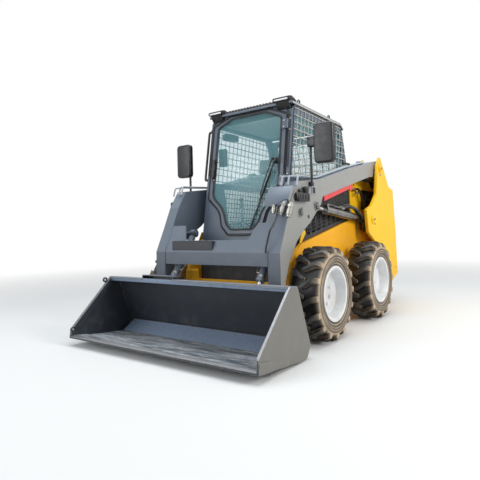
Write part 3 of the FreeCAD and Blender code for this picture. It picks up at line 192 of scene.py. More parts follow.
def enamel(name, colour, rough=0.34, dust=0.35, dust_top=0.9, wear=0.5, bare=(0.30, 0.30, 0.31),
           sunlit_side=None, gloss=0.5, sky_lit_top=None):
    """Sprayed paint: a faint cloudiness and orange peel, dust low down, worn edges.

    Faces that look up may have a lighter colour painted on as sky light, and faces that look
    outwards to the side a lighter one painted on as sunlight, from a distance off the machine's
    middle plane."""
    finish = Finish(name, colour, rough)
    finish.set("Specular IOR Level", gloss)
    cloud = finish.span(finish.noise(1.7, 5.0), 0.3, 0.7)
    shade = tuple(channel * 0.80 for channel in colour)
    paint = finish.mix(finish.maths("MULTIPLY", cloud, 0.6), colour, shade)
    # painted sky light: upward faces mixed towards a lighter colour
    if sky_lit_top:
        paint = finish.mix(finish.span(finish.facing("Z"), 0.30, 0.85), paint, sky_lit_top)
    # painted sunlight: outer side faces mixed towards a lighter colour
    if sunlit_side:
        paint = finish.mix(finish.outer_side(sunlit_side[1]), paint, sunlit_side[0])
    low = finish.span(finish.height(), dust_top, 0.05)
    specks = finish.span(finish.noise(9.0, 7.0, rough=0.7), 0.42, 0.72)
    fine = finish.span(finish.noise(60.0, 4.0), 0.45, 0.75, 0.0, 0.35)
    dirt = finish.maths("MULTIPLY", finish.maths("ADD", specks, fine),
                        finish.maths("MULTIPLY", finish.maths("ADD", low, 0.12), dust))
    paint = finish.mix(dirt, paint, DUST)
    edge, rounded = finish.edges(0.003)
    chips = finish.span(finish.noise(35.0, 5.0, rough=0.7), 0.48, 0.62)
    worn = finish.maths("MULTIPLY", finish.maths("MULTIPLY", edge, chips), wear)
    finish.set("Base Color", finish.mix(worn, paint, bare))
    finish.set("Roughness", finish.maths("ADD", finish.maths("MULTIPLY", dirt, 0.4),
                                         finish.span(finish.noise(14.0), 0.3, 0.7,
                                                     rough - 0.05, rough + 0.08)))
    finish.bump(finish.noise(260.0, 2.0), 0.05, 0.002, rounded)
    return finish.material


def steel(name, colour, rough, scratch=(1, 1, 1)):
    """Bare or polished metal with fine scratches along its work."""
    finish = Finish(name, colour, rough, 1.0)
    streak = finish.noise(40.0, 6.0, scratch, 0.7)
    finish.set("Base Color", finish.mix(finish.span(streak, 0.35, 0.7), colour,
                                        tuple(channel * 0.72 for channel in colour)))
    finish.set("Roughness", finish.span(streak, 0.3, 0.7, rough * 0.8, rough * 1.35))
    finish.bump(streak, 0.08, 0.001)
    return finish.material


def scraped_bucket():
    """Paint drawn near black as painted shade, scuffed by rubble to bare steel on the floor and
    along the edge, with painted sunlight on the outer sides and painted sky light on the floor and
    lip.
    """
    # painted shade: the grey paint drawn near black
    colour = (0.021, 0.024, 0.030)
    finish = Finish("scraped_bucket", colour, 0.40)
    height = finish.height()
    outside = finish.outer_side(0.932)
    cloud = finish.span(finish.noise(2.0, 5.0), 0.3, 0.7)
    paint = finish.mix(cloud, colour, (0.028, 0.032, 0.040))
    # painted sunlight: outer side faces drawn a warm light grey
    paint = finish.mix(outside, paint, (0.150, 0.143, 0.128))
    scrape = finish.noise(11.0, 9.0, (0.30, 1.7, 1.0), 0.75)
    floor = finish.maths("MULTIPLY", finish.span(height, 0.100, 0.088),
                         finish.span(finish.facing("Z"), 0.6, 0.9))
    patch = finish.span(scrape, 0.40, 0.58)
    worn_steel = finish.mix(finish.span(finish.noise(34.0, 6.0), 0.4, 0.7),
                            (0.50, 0.53, 0.56), (0.26, 0.29, 0.31))
    # painted sky light: the floor's upward faces drawn a lighter bluish grey; the steel patches on
    # them are scuffs
    base = finish.mix(finish.maths("MULTIPLY", floor, 0.85), paint, (0.085, 0.097, 0.110))
    base = finish.mix(finish.maths("MULTIPLY", patch, floor), base, worn_steel)
    # painted sky light: the lip's upward faces drawn a light bluish grey
    lip = finish.maths("MULTIPLY", finish.span(height, 0.508, 0.518),
                       finish.span(finish.facing("Z"), 0.6, 0.9))
    base = finish.mix(lip, base, (0.205, 0.235, 0.270))
    dust = finish.maths("MULTIPLY", finish.span(finish.noise(8.0, 8.0, rough=0.75), 0.50, 0.78),
                        finish.span(height, 0.30, 0.03, 0.03, 0.28))
    base = finish.mix(dust, base, (0.33, 0.31, 0.28))
    edge, rounded = finish.edges(0.004)
    chips = finish.span(finish.noise(40.0, 5.0), 0.30, 0.50)
    worn = finish.maths("MULTIPLY", finish.maths("MULTIPLY", edge, chips), 0.9)
    finish.set("Base Color", finish.mix(worn, base, (0.48, 0.48, 0.48)))
    finish.set("Roughness", finish.span(scrape, 0.3, 0.7, 0.30, 0.50))
    finish.bump(scrape, 0.08, 0.002, rounded)
    return finish.material


def tyre_rubber():
    """Black rubber on the lugs, drawn near black below their tops as painted shade in the grooves;
    tan dust settled in the shoulder grooves and on the side walls, but for the walls' ring grooves.
    """
    finish = Finish("tyre_rubber", (0.016, 0.016, 0.017), 0.72)
    spread = finish.add("ShaderNodeAttribute", attribute_name="dust").outputs["Fac"]
    specks = finish.span(finish.noise(22.0, 7.0, rough=0.7), 0.35, 0.65)
    crown = finish.add("ShaderNodeAttribute", attribute_name="crown").outputs["Fac"]
    rubber = finish.mix(specks, (0.020, 0.020, 0.021), (0.044, 0.042, 0.038))
    # painted shade: below the lug tops, in the grooves, the rubber is drawn near black
    rubber = finish.mix(crown, (0.003, 0.003, 0.003), rubber)
    patchy = finish.span(finish.noise(11.0, 6.0), 0.25, 0.6, 0.55, 1.0)
    share = finish.maths("MULTIPLY", spread, patchy)
    tan = finish.mix(finish.noise(6.0, 4.0), (0.430, 0.315, 0.205), (0.620, 0.495, 0.360))
    finish.set("Base Color", finish.mix(share, rubber, tan))
    finish.set("Roughness", finish.span(share, 0.0, 1.0, 0.42, 0.95))
    finish.bump(finish.noise(120.0, 5.0), 0.18, 0.002)
    return finish.material


def moulded(name, colour, rough, grain=180.0, depth=0.12, dust=0.22):
    """Moulded plastic or rubber with a fine grain and a trace of dust."""
    finish = Finish(name, colour, rough)
    dust = finish.span(finish.noise(12.0, 6.0, rough=0.7), 0.5, 0.8, 0.0, dust)
    finish.set("Base Color", finish.mix(dust, colour, (0.20, 0.19, 0.17)))
    finish.set("Roughness", finish.span(finish.noise(25.0), 0.3, 0.7, rough - 0.06, rough + 0.1))
    finish.bump(finish.noise(grain, 3.0), depth, 0.001)
    return finish.material


def glass(name, colour, tint):
    """Tinted pane: each face holds back a share of the light and mirrors the studio."""
    finish = Finish(name, colour, 0.03)
    finish.set("Alpha", tint)
    finish.set("Specular IOR Level", 0.55)
    smear = finish.noise(3.0, 5.0)
    finish.set("Roughness", finish.span(smear, 0.3, 0.7, 0.01, 0.07))
    finish.material.surface_render_method = "BLENDED"
    return finish.material


def lens(name, colour, rough=0.12):
    """A lamp's ribbed lens."""
    finish = Finish(name, colour, rough)
    wave = finish.add("ShaderNodeTexWave")
    wave.inputs["Scale"].default_value = 55
    finish.link(finish.place, wave.inputs["Vector"])
    finish.set("Coat Weight", 0.7)
    finish.set("Base Color", finish.mix(wave.outputs["Fac"], colour,
                                        tuple(channel * 0.86 for channel in colour)))
    finish.bump(wave.outputs["Fac"], 0.25, 0.002)
    return finish.material


def vinyl():
    finish = Finish("seat_vinyl", (0.022, 0.022, 0.025), 0.55)
    grain = finish.add("ShaderNodeTexVoronoi")
    grain.inputs["Scale"].default_value = 420
    finish.link(finish.place, grain.inputs["Vector"])
    tone = finish.span(finish.noise(8.0, 4.0), 0.3, 0.7)
    finish.set("Base Color", finish.mix(tone, (0.020, 0.020, 0.023), (0.034, 0.034, 0.036)))
    finish.bump(grain.outputs["Distance"], 0.25, 0.001)
    return finish.material


YELLOW = enamel("frame_yellow", (0.92, 0.53, 0.012), 0.40, dust=0.13, dust_top=0.50, wear=0.10,
                gloss=0.22)
# the frame yellow drawn more orange, as painted shade on the frame and axle housings
SHADED_YELLOW = enamel("frame_yellow_shaded", (0.90, 0.43, 0.012), 0.40, dust=0.16, dust_top=0.60, wear=0.12,
               gloss=0.22)
# the loader's grey: the base is the paint's bluish colour in shade, as painted shade; upward faces
# get painted sky light and outer sides painted sunlight
SLATE = enamel("loader_grey", (0.112, 0.136, 0.172), 0.32, dust=0.20, dust_top=0.85, wear=0.35,
               sunlit_side=((0.255, 0.255, 0.245), 0.660), sky_lit_top=(0.170, 0.212, 0.268))
# a lighter, bluer copy of the loader's grey, as painted sky light on the bucket's heel plate and
# lip front
HEEL_SKY_LIT_SLATE = enamel("heel_grey", (0.180, 0.240, 0.335), 0.28, dust=0.08, dust_top=0.3, wear=0.4)
# the cab's grey: a darker, bluer copy of the loader's grey, as painted shade
CAB_SLATE = enamel("cab_grey", (0.086, 0.115, 0.156), 0.34, dust=0.12, dust_top=0.6, wear=0.2)
# the screens and drip rails: the grey paint drawn light, as painted sunlight
SCREEN_SUNLIT_GREY = enamel("screen_grey", (0.40, 0.39, 0.36), 0.42, dust=0.15, dust_top=0.6, wear=0.2)
PIPE_GREY = enamel("pipe_grey", (0.36, 0.40, 0.44), 0.30, dust=0.10, dust_top=0.6, wear=0.2)
RIM_WHITE = enamel("rim_white", (0.73, 0.75, 0.76), 0.30, dust=0.50, dust_top=0.75, wear=0.25)
BLACK_METAL = enamel("black_metal", (0.016, 0.016, 0.018), 0.42, dust=0.14, dust_top=1.2, wear=0.3)
STEP_BLACK = enamel("step_black", (0.026, 0.030, 0.036), 0.42, dust=0.03, wear=0.4)
ENGINE_IRON = enamel("engine_iron", (0.06, 0.06, 0.065), 0.6, dust=0.4, dust_top=1.2)
BAR_RED = enamel("bar_red", (0.72, 0.045, 0.048), 0.40, dust=0.08, wear=0.3)
BUCKET = scraped_bucket()
BARREL_GREY = steel("barrel_grey", (0.30, 0.30, 0.29), 0.27, (1, 0.2, 0.2))
CHROME = steel("chrome_rod", (0.72, 0.73, 0.74), 0.10, (1, 0.2, 0.2))
FITTING_STEEL = steel("plated_fitting", (0.46, 0.45, 0.41), 0.34)
WORN_STEEL = steel("worn_steel", (0.42, 0.43, 0.45), 0.42, (0.25, 1, 1))
RUBBER = tyre_rubber()
TRIM = moulded("trim_black", (0.014, 0.015, 0.017), 0.40)
SHELL_BLACK = moulded("mirror_shell", (0.007, 0.009, 0.012), 0.32, 90.0, 0.04, 0.03)
SEAL = moulded("rubber_seal", (0.010, 0.010, 0.011), 0.60, 90.0)
# the pane's tint is set light, so that its lit colour also stands in as a painted reflection of the
# sky
PANE = glass("cab_glass", (0.300, 0.660, 0.720), 0.160)
LAMP_BLACK = moulded("lamp_shell", (0.007, 0.007, 0.008), 0.70, 90.0, 0.04, 0.03)
MIRROR = steel("mirror_glass", (0.80, 0.82, 0.84), 0.02)
HOSE = moulded("hose_rubber", (0.012, 0.012, 0.013), 0.30, 240.0, 0.1, 0.08)
LINING = moulded("roof_lining", (0.42, 0.43, 0.42), 0.70, 400.0, 0.1, 0.1)
# the side liners: a pale panel colour raised near white, as painted light inside the cab
LINER = moulded("side_liner", (0.86, 0.88, 0.87), 0.60, 400.0, 0.1, 0.0)
DISPLAY = moulded("display_black", (0.008, 0.009, 0.011), 0.12, 400.0, 0.02)
LENS = lens("lamp_lens", (0.80, 0.82, 0.84))
RED_LENS = lens("tail_lens", (0.45, 0.02, 0.02))
VINYL = vinyl()
BELT = moulded("belt_webbing", (0.018, 0.018, 0.020), 0.75, 600.0, 0.3)

CAD_FINISHES = (
    (YELLOW, "tower_left tower_right"),
    (SHADED_YELLOW, "main_frame axle_housings"),
    (SLATE, "arm_left arm_right arm_cross_member coupler_guard quick_coupler tilt_barrels"),
    (BARREL_GREY, "lift_barrels"),
    (PIPE_GREY, "arm_pipes"),
    (BUCKET, "bucket"),
    (CAB_SLATE, "cab_side_left cab_side_right cab_front cab_rear cab_roof door_frame"),
    (SCREEN_SUNLIT_GREY, "side_screens"),
    (BLACK_METAL, "rear_door hood side_grilles grab_rail cab_floor"),
    (STEP_BLACK, "arm_step"),
    (ENGINE_IRON, "engine_block"),
    (BAR_RED, "support_bar"),
    (CHROME, "lift_rods tilt_rods"),
    (TRIM, "controls mirrors arm_lamps roof_lamps door_fittings tail_lamps"),
    (VINYL, "seat"),
    (PANE, "cab_windows door_glass"),
    (RUBBER, "tyre_front_left tyre_front_right tyre_rear_left tyre_rear_right"),
    (RIM_WHITE, "rim_front_left rim_front_right rim_rear_left rim_rear_right"),
)


def finish_cad_nodes():
    for material, names in CAD_FINISHES:
        for name in names.split():
            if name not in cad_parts:
                continue
            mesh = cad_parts[name].data
            mesh.materials.clear()
            mesh.materials.append(material)


def loose_piece(name, mesh, material):
    """A finished mesh becomes an object with its material."""
    mesh.normal_update()
    data = bpy.data.meshes.new(name)
    mesh.to_mesh(data)
    mesh.free()
    data.materials.append(material)
    thing = bpy.data.objects.new(name, data)
    bpy.context.scene.collection.objects.link(thing)
    return thing


def piece(name, mesh, body, material):
    """A finished piece that rides on its body."""
    thing = loose_piece(name, mesh, material)
    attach(thing, body)
    return thing


def shade_smooth(thing, angle=35):
    """Smooth faces, with edges sharper than an angle kept crisp."""
    mesh = bmesh.new()
    mesh.from_mesh(thing.data)
    limit = math.radians(angle)
    for face in mesh.faces:
        face.smooth = True
    for edge in mesh.edges:
        edge.smooth = len(edge.link_faces) == 2 and edge.calc_face_angle(0) < limit
    mesh.to_mesh(thing.data)
    mesh.free()
    return thing


def spin_profile(mesh, profile, steps, closed=True):
    """Spins a profile of (x, radius) corners round the X axis."""
    verts = [mesh.verts.new((x, 0, radius)) for x, radius in profile]
    pairs = list(zip(verts, verts[1:]))
    if closed:
        pairs.append((verts[-1], verts[0]))
    edges = [mesh.edges.new(pair) for pair in pairs]
    bmesh.ops.spin(mesh, geom=verts + edges, cent=(0, 0, 0), axis=(1, 0, 0),
                   angle=2 * math.pi, steps=steps, use_merge=True)
    bmesh.ops.remove_doubles(mesh, verts=mesh.verts, dist=1e-6)
    bmesh.ops.recalc_face_normals(mesh, faces=mesh.faces)


TYRE_SECTION = (
    # distance from the middle plane and radius, from the bead out over the side rings to the tread
    (0.1060, 0.2100), (0.1120, 0.2235), (0.1165, 0.2290), (0.1195, 0.2350), (0.1175, 0.2385),
    (0.1215, 0.2440), (0.1255, 0.2540), (0.1240, 0.2570), (0.1240, 0.2590), (0.1275, 0.2620),
    (0.1295, 0.2720), (0.1278, 0.2748), (0.1278, 0.2768), (0.1308, 0.2800), (0.1312, 0.2920),
    (0.1292, 0.2950), (0.1290, 0.2975), (0.1306, 0.3010), (0.1270, 0.3180), (0.1180, 0.3310),
    (0.1040, 0.3400), (0.0700, 0.3450), (0.0, 0.3465))
WALL_GROOVES = ((0.2280, 0.2400), (0.2535, 0.2625), (0.2742, 0.2805), (0.2945, 0.3015))
LUG_TOP = 0.3825
LUG_FOOT = 0.318
LUG_SHOULDER = 0.092
LUGS = 16
CASING_STEPS = 96


def pulled(part, faces, run):
    """Pulls faces out along a run and gives the vertices that moved."""
    raised = bmesh.ops.extrude_face_region(part, geom=faces)
    moved = [v for v in raised["geom"] if isinstance(v, bmesh.types.BMVert)]
    bmesh.ops.translate(part, vec=run, verts=moved)
    return moved


def tyre_lug(mesh, side):
    """One angled bar of the tread, its top drawn down over the tyre's shoulder."""
    outline = ((0.1305, -0.027), (0.1305, 0.020), (0.1000, 0.026), (0.0680, 0.034),
               (0.0250, 0.062), (-0.0120, 0.074), (-0.0150, 0.048), (0.0180, 0.030),
               (0.0560, 0.000), (0.0900, -0.020), (0.1100, -0.027))
    verts = [mesh.verts.new((x * side, along, LUG_FOOT)) for x, along in outline]
    face = mesh.faces.new(verts if side < 0 else list(reversed(verts)))
    top = pulled(mesh, [face], (0, 0, 0))
    for vert in top:
        vert.co.z = LUG_TOP - 0.4 * max(0.0, abs(vert.co.x) - LUG_SHOULDER) ** 1.35 * 6
        vert.co.x *= 0.975
    own = set(verts + top)
    edges = [e for e in mesh.edges if e.verts[0] in own and e.verts[1] in own
             and not (e.verts[0] in verts and e.verts[1] in verts)]
    bmesh.ops.bevel(mesh, geom=edges, offset=0.0032, segments=2, profile=0.5, affect="EDGES",
                    material=-1)


def make_tyre(name, body, side, centre):
    mesh = bmesh.new()
    for row, share in ((1, 0.0), (-1, 0.5)):
        lug = bmesh.new()
        tyre_lug(lug, row)
        for vert in lug.verts:
            radius, angle = vert.co.z, vert.co.y / LUG_TOP
            vert.co = (vert.co.x, -radius * math.sin(angle), radius * math.cos(angle))
        bmesh.ops.rotate(lug, verts=lug.verts, cent=(0, 0, 0),
                         matrix=Matrix.Rotation(share * math.tau / LUGS, 3, "X"))
        bmesh.ops.spin(lug, geom=lug.verts[:] + lug.edges[:] + lug.faces[:], cent=(0, 0, 0),
                       axis=(1, 0, 0), angle=math.tau * (LUGS - 1) / LUGS, steps=LUGS - 1,
                       use_duplicate=True)
        add_mesh(mesh, lug)
    casing = bmesh.new()
    profile = list(TYRE_SECTION) + [(-x, r) for x, r in reversed(TYRE_SECTION[:-1])]
    spin_profile(casing, profile, CASING_STEPS)
    add_mesh(mesh, casing)
    layer = mesh.verts.layers.float.new("dust")
    crown = mesh.verts.layers.float.new("crown")
    for vert in mesh.verts:
        radius = math.hypot(vert.co.y, vert.co.z)
        # 1 on the lug tops; lower down the rubber gets painted shade
        vert[crown] = min(1.0, max(0.0, (radius - 0.350) / 0.022))
        wall = min(1.0, max(0.0, (0.334 - radius) / 0.014))
        shoulder = min(1.0, max(0.0, (abs(vert.co.x) - 0.1225) / 0.004))
        ringed = any(low < radius < high for low, high in WALL_GROOVES)
        vert[layer] = wall * 0.10 if ringed else max(wall * 0.95, shoulder * 0.85)
    if side < 0:
        bmesh.ops.scale(mesh, vec=(-1, 1, 1), verts=mesh.verts)
        bmesh.ops.reverse_faces(mesh, faces=mesh.faces)
    bmesh.ops.translate(mesh, vec=centre, verts=mesh.verts)
    return shade_smooth(piece(name, mesh, body, RUBBER), 40)


RIM_SECTION = (
    # distance from the middle plane and radius, round the rim and down its disc to the hub
    (0.1175, 0.1995), (0.1225, 0.2040), (0.1230, 0.2215), (0.1205, 0.2250), (0.1150, 0.2250),
    (0.1125, 0.2225), (0.1120, 0.2100), (0.0, 0.2095), (-0.1120, 0.2100), (-0.1125, 0.2225),
    (-0.1200, 0.2250), (-0.1230, 0.2200), (-0.1230, 0.1995), (-0.0600, 0.1950),
    (-0.0400, 0.1820), (0.0180, 0.1800), (0.0080, 0.1500), (-0.0010, 0.1250), (-0.0010, 0.0600),
    (-0.0800, 0.0600), (-0.0800, 0.0), (0.0215, 0.0), (0.0215, 0.0300), (0.0190, 0.0400),
    (0.0130, 0.0440), (0.0120, 0.1170), (0.0180, 0.1250), (0.0300, 0.1600), (0.0360, 0.1830),
    (0.0480, 0.1870), (0.0800, 0.1880), (0.1000, 0.1960))


WHEEL_BOLTS = 8
BOLT_CIRCLE = 0.1016


def wheel_bolt(mesh, place, radius=0.0135, height=0.016, washer=0.019):
    """A hexagon head on its washer, standing on the wheel's disc."""
    spot = Matrix.Translation(place) @ Matrix.Rotation(math.pi / 2, 4, "Y")
    bmesh.ops.create_cone(mesh, cap_ends=True, segments=6, radius1=radius,
                          radius2=radius * 0.94, depth=height,
                          matrix=spot @ Matrix.Translation((0, 0, height / 2)))
    bmesh.ops.create_cone(mesh, cap_ends=True, segments=20, radius1=washer, radius2=washer,
                          depth=height * 0.3,
                          matrix=spot @ Matrix.Translation((0, 0, height * 0.15)))


def make_rim(name, body, side, centre):
    mesh = bmesh.new()
    spin_profile(mesh, RIM_SECTION, 72)
    for index in range(WHEEL_BOLTS):
        angle = math.tau * (index + 0.5) / WHEEL_BOLTS
        wheel_bolt(mesh, (0.012, BOLT_CIRCLE * math.sin(angle), BOLT_CIRCLE * math.cos(angle)))
    # the valve stem
    stem = Matrix.Translation((0.070, 0.030, 0.180)) @ Matrix.Rotation(math.radians(62), 4, "Y")
    bmesh.ops.create_cone(mesh, cap_ends=True, segments=12, radius1=0.0075, radius2=0.0060,
                          depth=0.045, matrix=stem)
    if side < 0:
        bmesh.ops.scale(mesh, vec=(-1, 1, 1), verts=mesh.verts)
        bmesh.ops.reverse_faces(mesh, faces=mesh.faces)
    bmesh.ops.translate(mesh, vec=centre, verts=mesh.verts)
    return shade_smooth(piece(name, mesh, body, RIM_WHITE), 30)


def make_wheels():
    for end, along in (("front", FRONT_AXLE), ("rear", REAR_AXLE)):
        for side_name, side in (("left", 1), ("right", -1)):
            body = "wheel_%s_%s" % (end, side_name)
            centre = (WHEEL_X * side, along, AXLE_HEIGHT)
            tyre = make_tyre("dressed_tyre_%s_%s" % (end, side_name), body, side, centre)
            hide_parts("tyre_%s_%s" % (end, side_name))
            rim = make_rim("dressed_rim_%s_%s" % (end, side_name), body, side, centre)
            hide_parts("rim_%s_%s" % (end, side_name))


def add_mesh(mesh, other):
    """Puts one bmesh's faces into another and frees it."""
    data = bpy.data.meshes.new("part")
    other.to_mesh(data)
    other.free()
    mesh.from_mesh(data)
    bpy.data.meshes.remove(data)


def slab(mesh, loop, run, bevel=0.0, segments=2):
    """A plate: the loop of points is drawn as a face and pulled along the run."""
    part = bmesh.new()
    face = part.faces.new([part.verts.new(point) for point in loop])
    pulled(part, [face], run)
    bmesh.ops.recalc_face_normals(part, faces=part.faces)
    if bevel:
        bmesh.ops.bevel(part, geom=part.edges[:], offset=bevel, segments=segments, profile=0.5,
                        affect="EDGES", material=-1)
    add_mesh(mesh, part)


def block(mesh, low, high, bevel=0.004, segments=2):
    """A box between two corners, with rounded edges."""
    part = bmesh.new()
    low, high = Vector(low), Vector(high)
    bmesh.ops.create_cube(part, size=1)
    bmesh.ops.scale(part, vec=high - low, verts=part.verts)
    bmesh.ops.translate(part, vec=(low + high) / 2, verts=part.verts)
    if bevel:
        bmesh.ops.bevel(part, geom=part.edges[:], offset=bevel, segments=segments, profile=0.5,
                        affect="EDGES", material=-1)
    add_mesh(mesh, part)


def turned(mesh, place, way, profile, steps=24):
    """A turned part: corners of (distance along its axis, radius), spun round the axis."""
    part = bmesh.new()
    spin_profile(part, profile, steps, closed=False)
    turn = Vector(way).to_track_quat("X", "Z").to_matrix().to_4x4()
    bmesh.ops.transform(part, matrix=Matrix.Translation(place) @ turn, verts=part.verts)
    bmesh.ops.remove_doubles(part, verts=part.verts, dist=1e-6)
    bmesh.ops.recalc_face_normals(part, faces=part.faces)
    add_mesh(mesh, part)


def hex_bolt(mesh, place, way, size=0.012, washer=True):
    """A hexagon head with its washer, its axis along a direction."""
    turn = Vector(way).to_track_quat("Z", "Y").to_matrix().to_4x4()
    spot = Matrix.Translation(place) @ turn
    bmesh.ops.create_cone(mesh, cap_ends=True, segments=6, radius1=size, radius2=size * 0.93,
                          depth=size * 0.9, matrix=spot @ Matrix.Translation((0, 0, size * 0.6)))
    if washer:
        bmesh.ops.create_cone(mesh, cap_ends=True, segments=20, radius1=size * 1.45,
                              radius2=size * 1.4, depth=size * 0.3,
                              matrix=spot @ Matrix.Translation((0, 0, size * 0.1)))


def dome_bolt(mesh, place, way, size=0.010):
    turned(mesh, place, way, ((0, size), (size * 0.25, size), (size * 0.6, size * 0.75),
                              (size * 0.75, size * 0.35), (size * 0.78, 0)), 16)


def grease_nipple(mesh, place, way):
    turned(mesh, place, way, ((0, 0.006), (0.004, 0.006), (0.004, 0.0035), (0.009, 0.0035),
                              (0.011, 0.0045), (0.014, 0.003), (0.014, 0)), 12)


def pipe(mesh, points, radius, bend=0.03, sides=4, order=3):
    """A smooth pipe or hose: straight runs, with a round bend at each corner."""
    route = [Vector(points[0])]
    for before, corner, after in zip(points, points[1:], points[2:]):
        corner = Vector(corner)
        for other in (before, after):
            gap = Vector(other) - corner
            route.append(corner + gap.normalized() * min(bend, gap.length * 0.45))
            if other is before:
                route.append(corner)
    route.append(Vector(points[-1]))
    curve = bpy.data.curves.new("run", "CURVE")
    curve.dimensions = "3D"
    curve.bevel_depth = radius
    curve.bevel_resolution = sides
    curve.use_fill_caps = True
    curve.resolution_u = 8
    spline = curve.splines.new("NURBS")
    spline.points.add(len(route) - 1)
    for point, place in zip(spline.points, route):
        point.co = (*place, 1)
    spline.order_u = order
    spline.use_endpoint_u = True
    holder = bpy.data.objects.new("run", curve)
    data = bpy.data.meshes.new_from_object(holder)
    mesh.from_mesh(data)
    bpy.data.meshes.remove(data)
    bpy.data.objects.remove(holder)
    bpy.data.curves.remove(curve)


def weld(mesh, start, end, width=0.006):
    """A weld bead: a low ridge with the ripples of its passes."""
    start, end = Vector(start), Vector(end)
    steps = max(3, int((end - start).length / 0.009))
    part = bmesh.new()
    bmesh.ops.create_cone(part, cap_ends=True, segments=8, radius1=width, radius2=width,
                          depth=(end - start).length)
    lines = [e for e in part.edges if abs(e.verts[0].co.z - e.verts[1].co.z) > 1e-4]
    bmesh.ops.subdivide_edges(part, edges=lines, cuts=steps * 2 - 1, use_grid_fill=True)
    rows = sorted({round(v.co.z, 5) for v in part.verts})
    for index, height in enumerate(rows):
        ring = [v for v in part.verts if abs(v.co.z - height) < 2e-5]
        if index % 2 == 0:
            bmesh.ops.scale(part, vec=(0.80, 0.80, 1), verts=ring)
    turn = (end - start).to_track_quat("Z", "Y").to_matrix().to_4x4()
    bmesh.ops.transform(part, matrix=Matrix.Translation((start + end) / 2) @ turn,
                        verts=part.verts)
    add_mesh(mesh, part)


def both_sides(mesh):
    """The same again on the machine's other side."""
    copy = mesh.copy()
    bmesh.ops.scale(copy, vec=(-1, 1, 1), verts=copy.verts)
    bmesh.ops.reverse_faces(copy, faces=copy.faces)
    add_mesh(mesh, copy)


def finished(name, mesh, body, material, angle=35):
    return shade_smooth(piece(name, mesh, body, material), angle)


def finished_pair(name, mesh, body, material, angle=35):
    """A piece and its mirror image on the machine's other side, as one object."""
    both_sides(mesh)
    return finished(name, mesh, body, material, angle)


CAB_LEAN = math.radians(9.65)
LEAN_UP = Vector((0, math.sin(CAB_LEAN), math.cos(CAB_LEAN)))
LEAN_OUT = Vector((0, -math.cos(CAB_LEAN), math.sin(CAB_LEAN)))


def on_front(x, height, out=0.0):
    """A point on the cab's leaning front: height up it from the sill, out in front of it."""
    return at(x, -0.037, 0.868) + LEAN_UP * height + LEAN_OUT * out


DOOR_EDGE = ((0.150, 0.008), (0.232, 0.090), (0.262, 0.209), (0.300, 0.260), (0.421, 0.365),
             (0.421, 1.100), (0.225, 1.180))
PANE_EDGE = ((0.122, 0.051), (0.184, 0.110), (0.215, 0.209), (0.262, 0.281), (0.345, 0.355),
             (0.372, 0.409), (0.368, 1.082), (0.195, 1.158))


def grown(edge, by):
    """The whole outline of an opening whose right half is given, moved outwards by a distance."""
    loop = [Vector(spot) for spot in edge] + [Vector((-x, h)) for x, h in reversed(edge)]
    moved = []
    for before, corner, after in zip(loop[-1:] + loop[:-1], loop, loop[1:] + loop[:1]):
        first, second = (corner - before).normalized(), (after - corner).normalized()
        first, second = Vector((first.y, -first.x)), Vector((second.y, -second.x))
        moved.append(corner + (first + second) * (by / (1 + first.dot(second))))
    return moved


def keep_rim(part, width):
    """Leaves of a face only a strip along the inside of its outline."""
    ring = bmesh.ops.inset_region(part, faces=part.faces[:], thickness=width, use_boundary=True,
                                  use_even_offset=True)["faces"]
    bmesh.ops.delete(part, geom=[f for f in part.faces if f not in ring], context="FACES_ONLY")


def gasket(mesh, loop, out, width, rise, corner=0.020):
    """A rubber strip along the inside of an outline on the cab's front."""
    part = bmesh.new()
    part.faces.new([part.verts.new(on_front(x, h, out)) for x, h in loop])
    if corner:
        bmesh.ops.bevel(part, geom=part.verts[:], offset=corner, segments=4, profile=0.5,
                        affect="VERTICES", material=-1)
    keep_rim(part, width)
    top = set(pulled(part, part.faces[:], LEAN_OUT * rise))
    bmesh.ops.recalc_face_normals(part, faces=part.faces)
    edges = [e for e in part.edges if e.verts[0] in top and e.verts[1] in top
             and e.calc_face_angle(0) > 0.8]
    bmesh.ops.bevel(part, geom=edges, offset=min(width, rise) * 0.3, segments=2, profile=0.5,
                    affect="EDGES", material=-1)
    add_mesh(mesh, part)


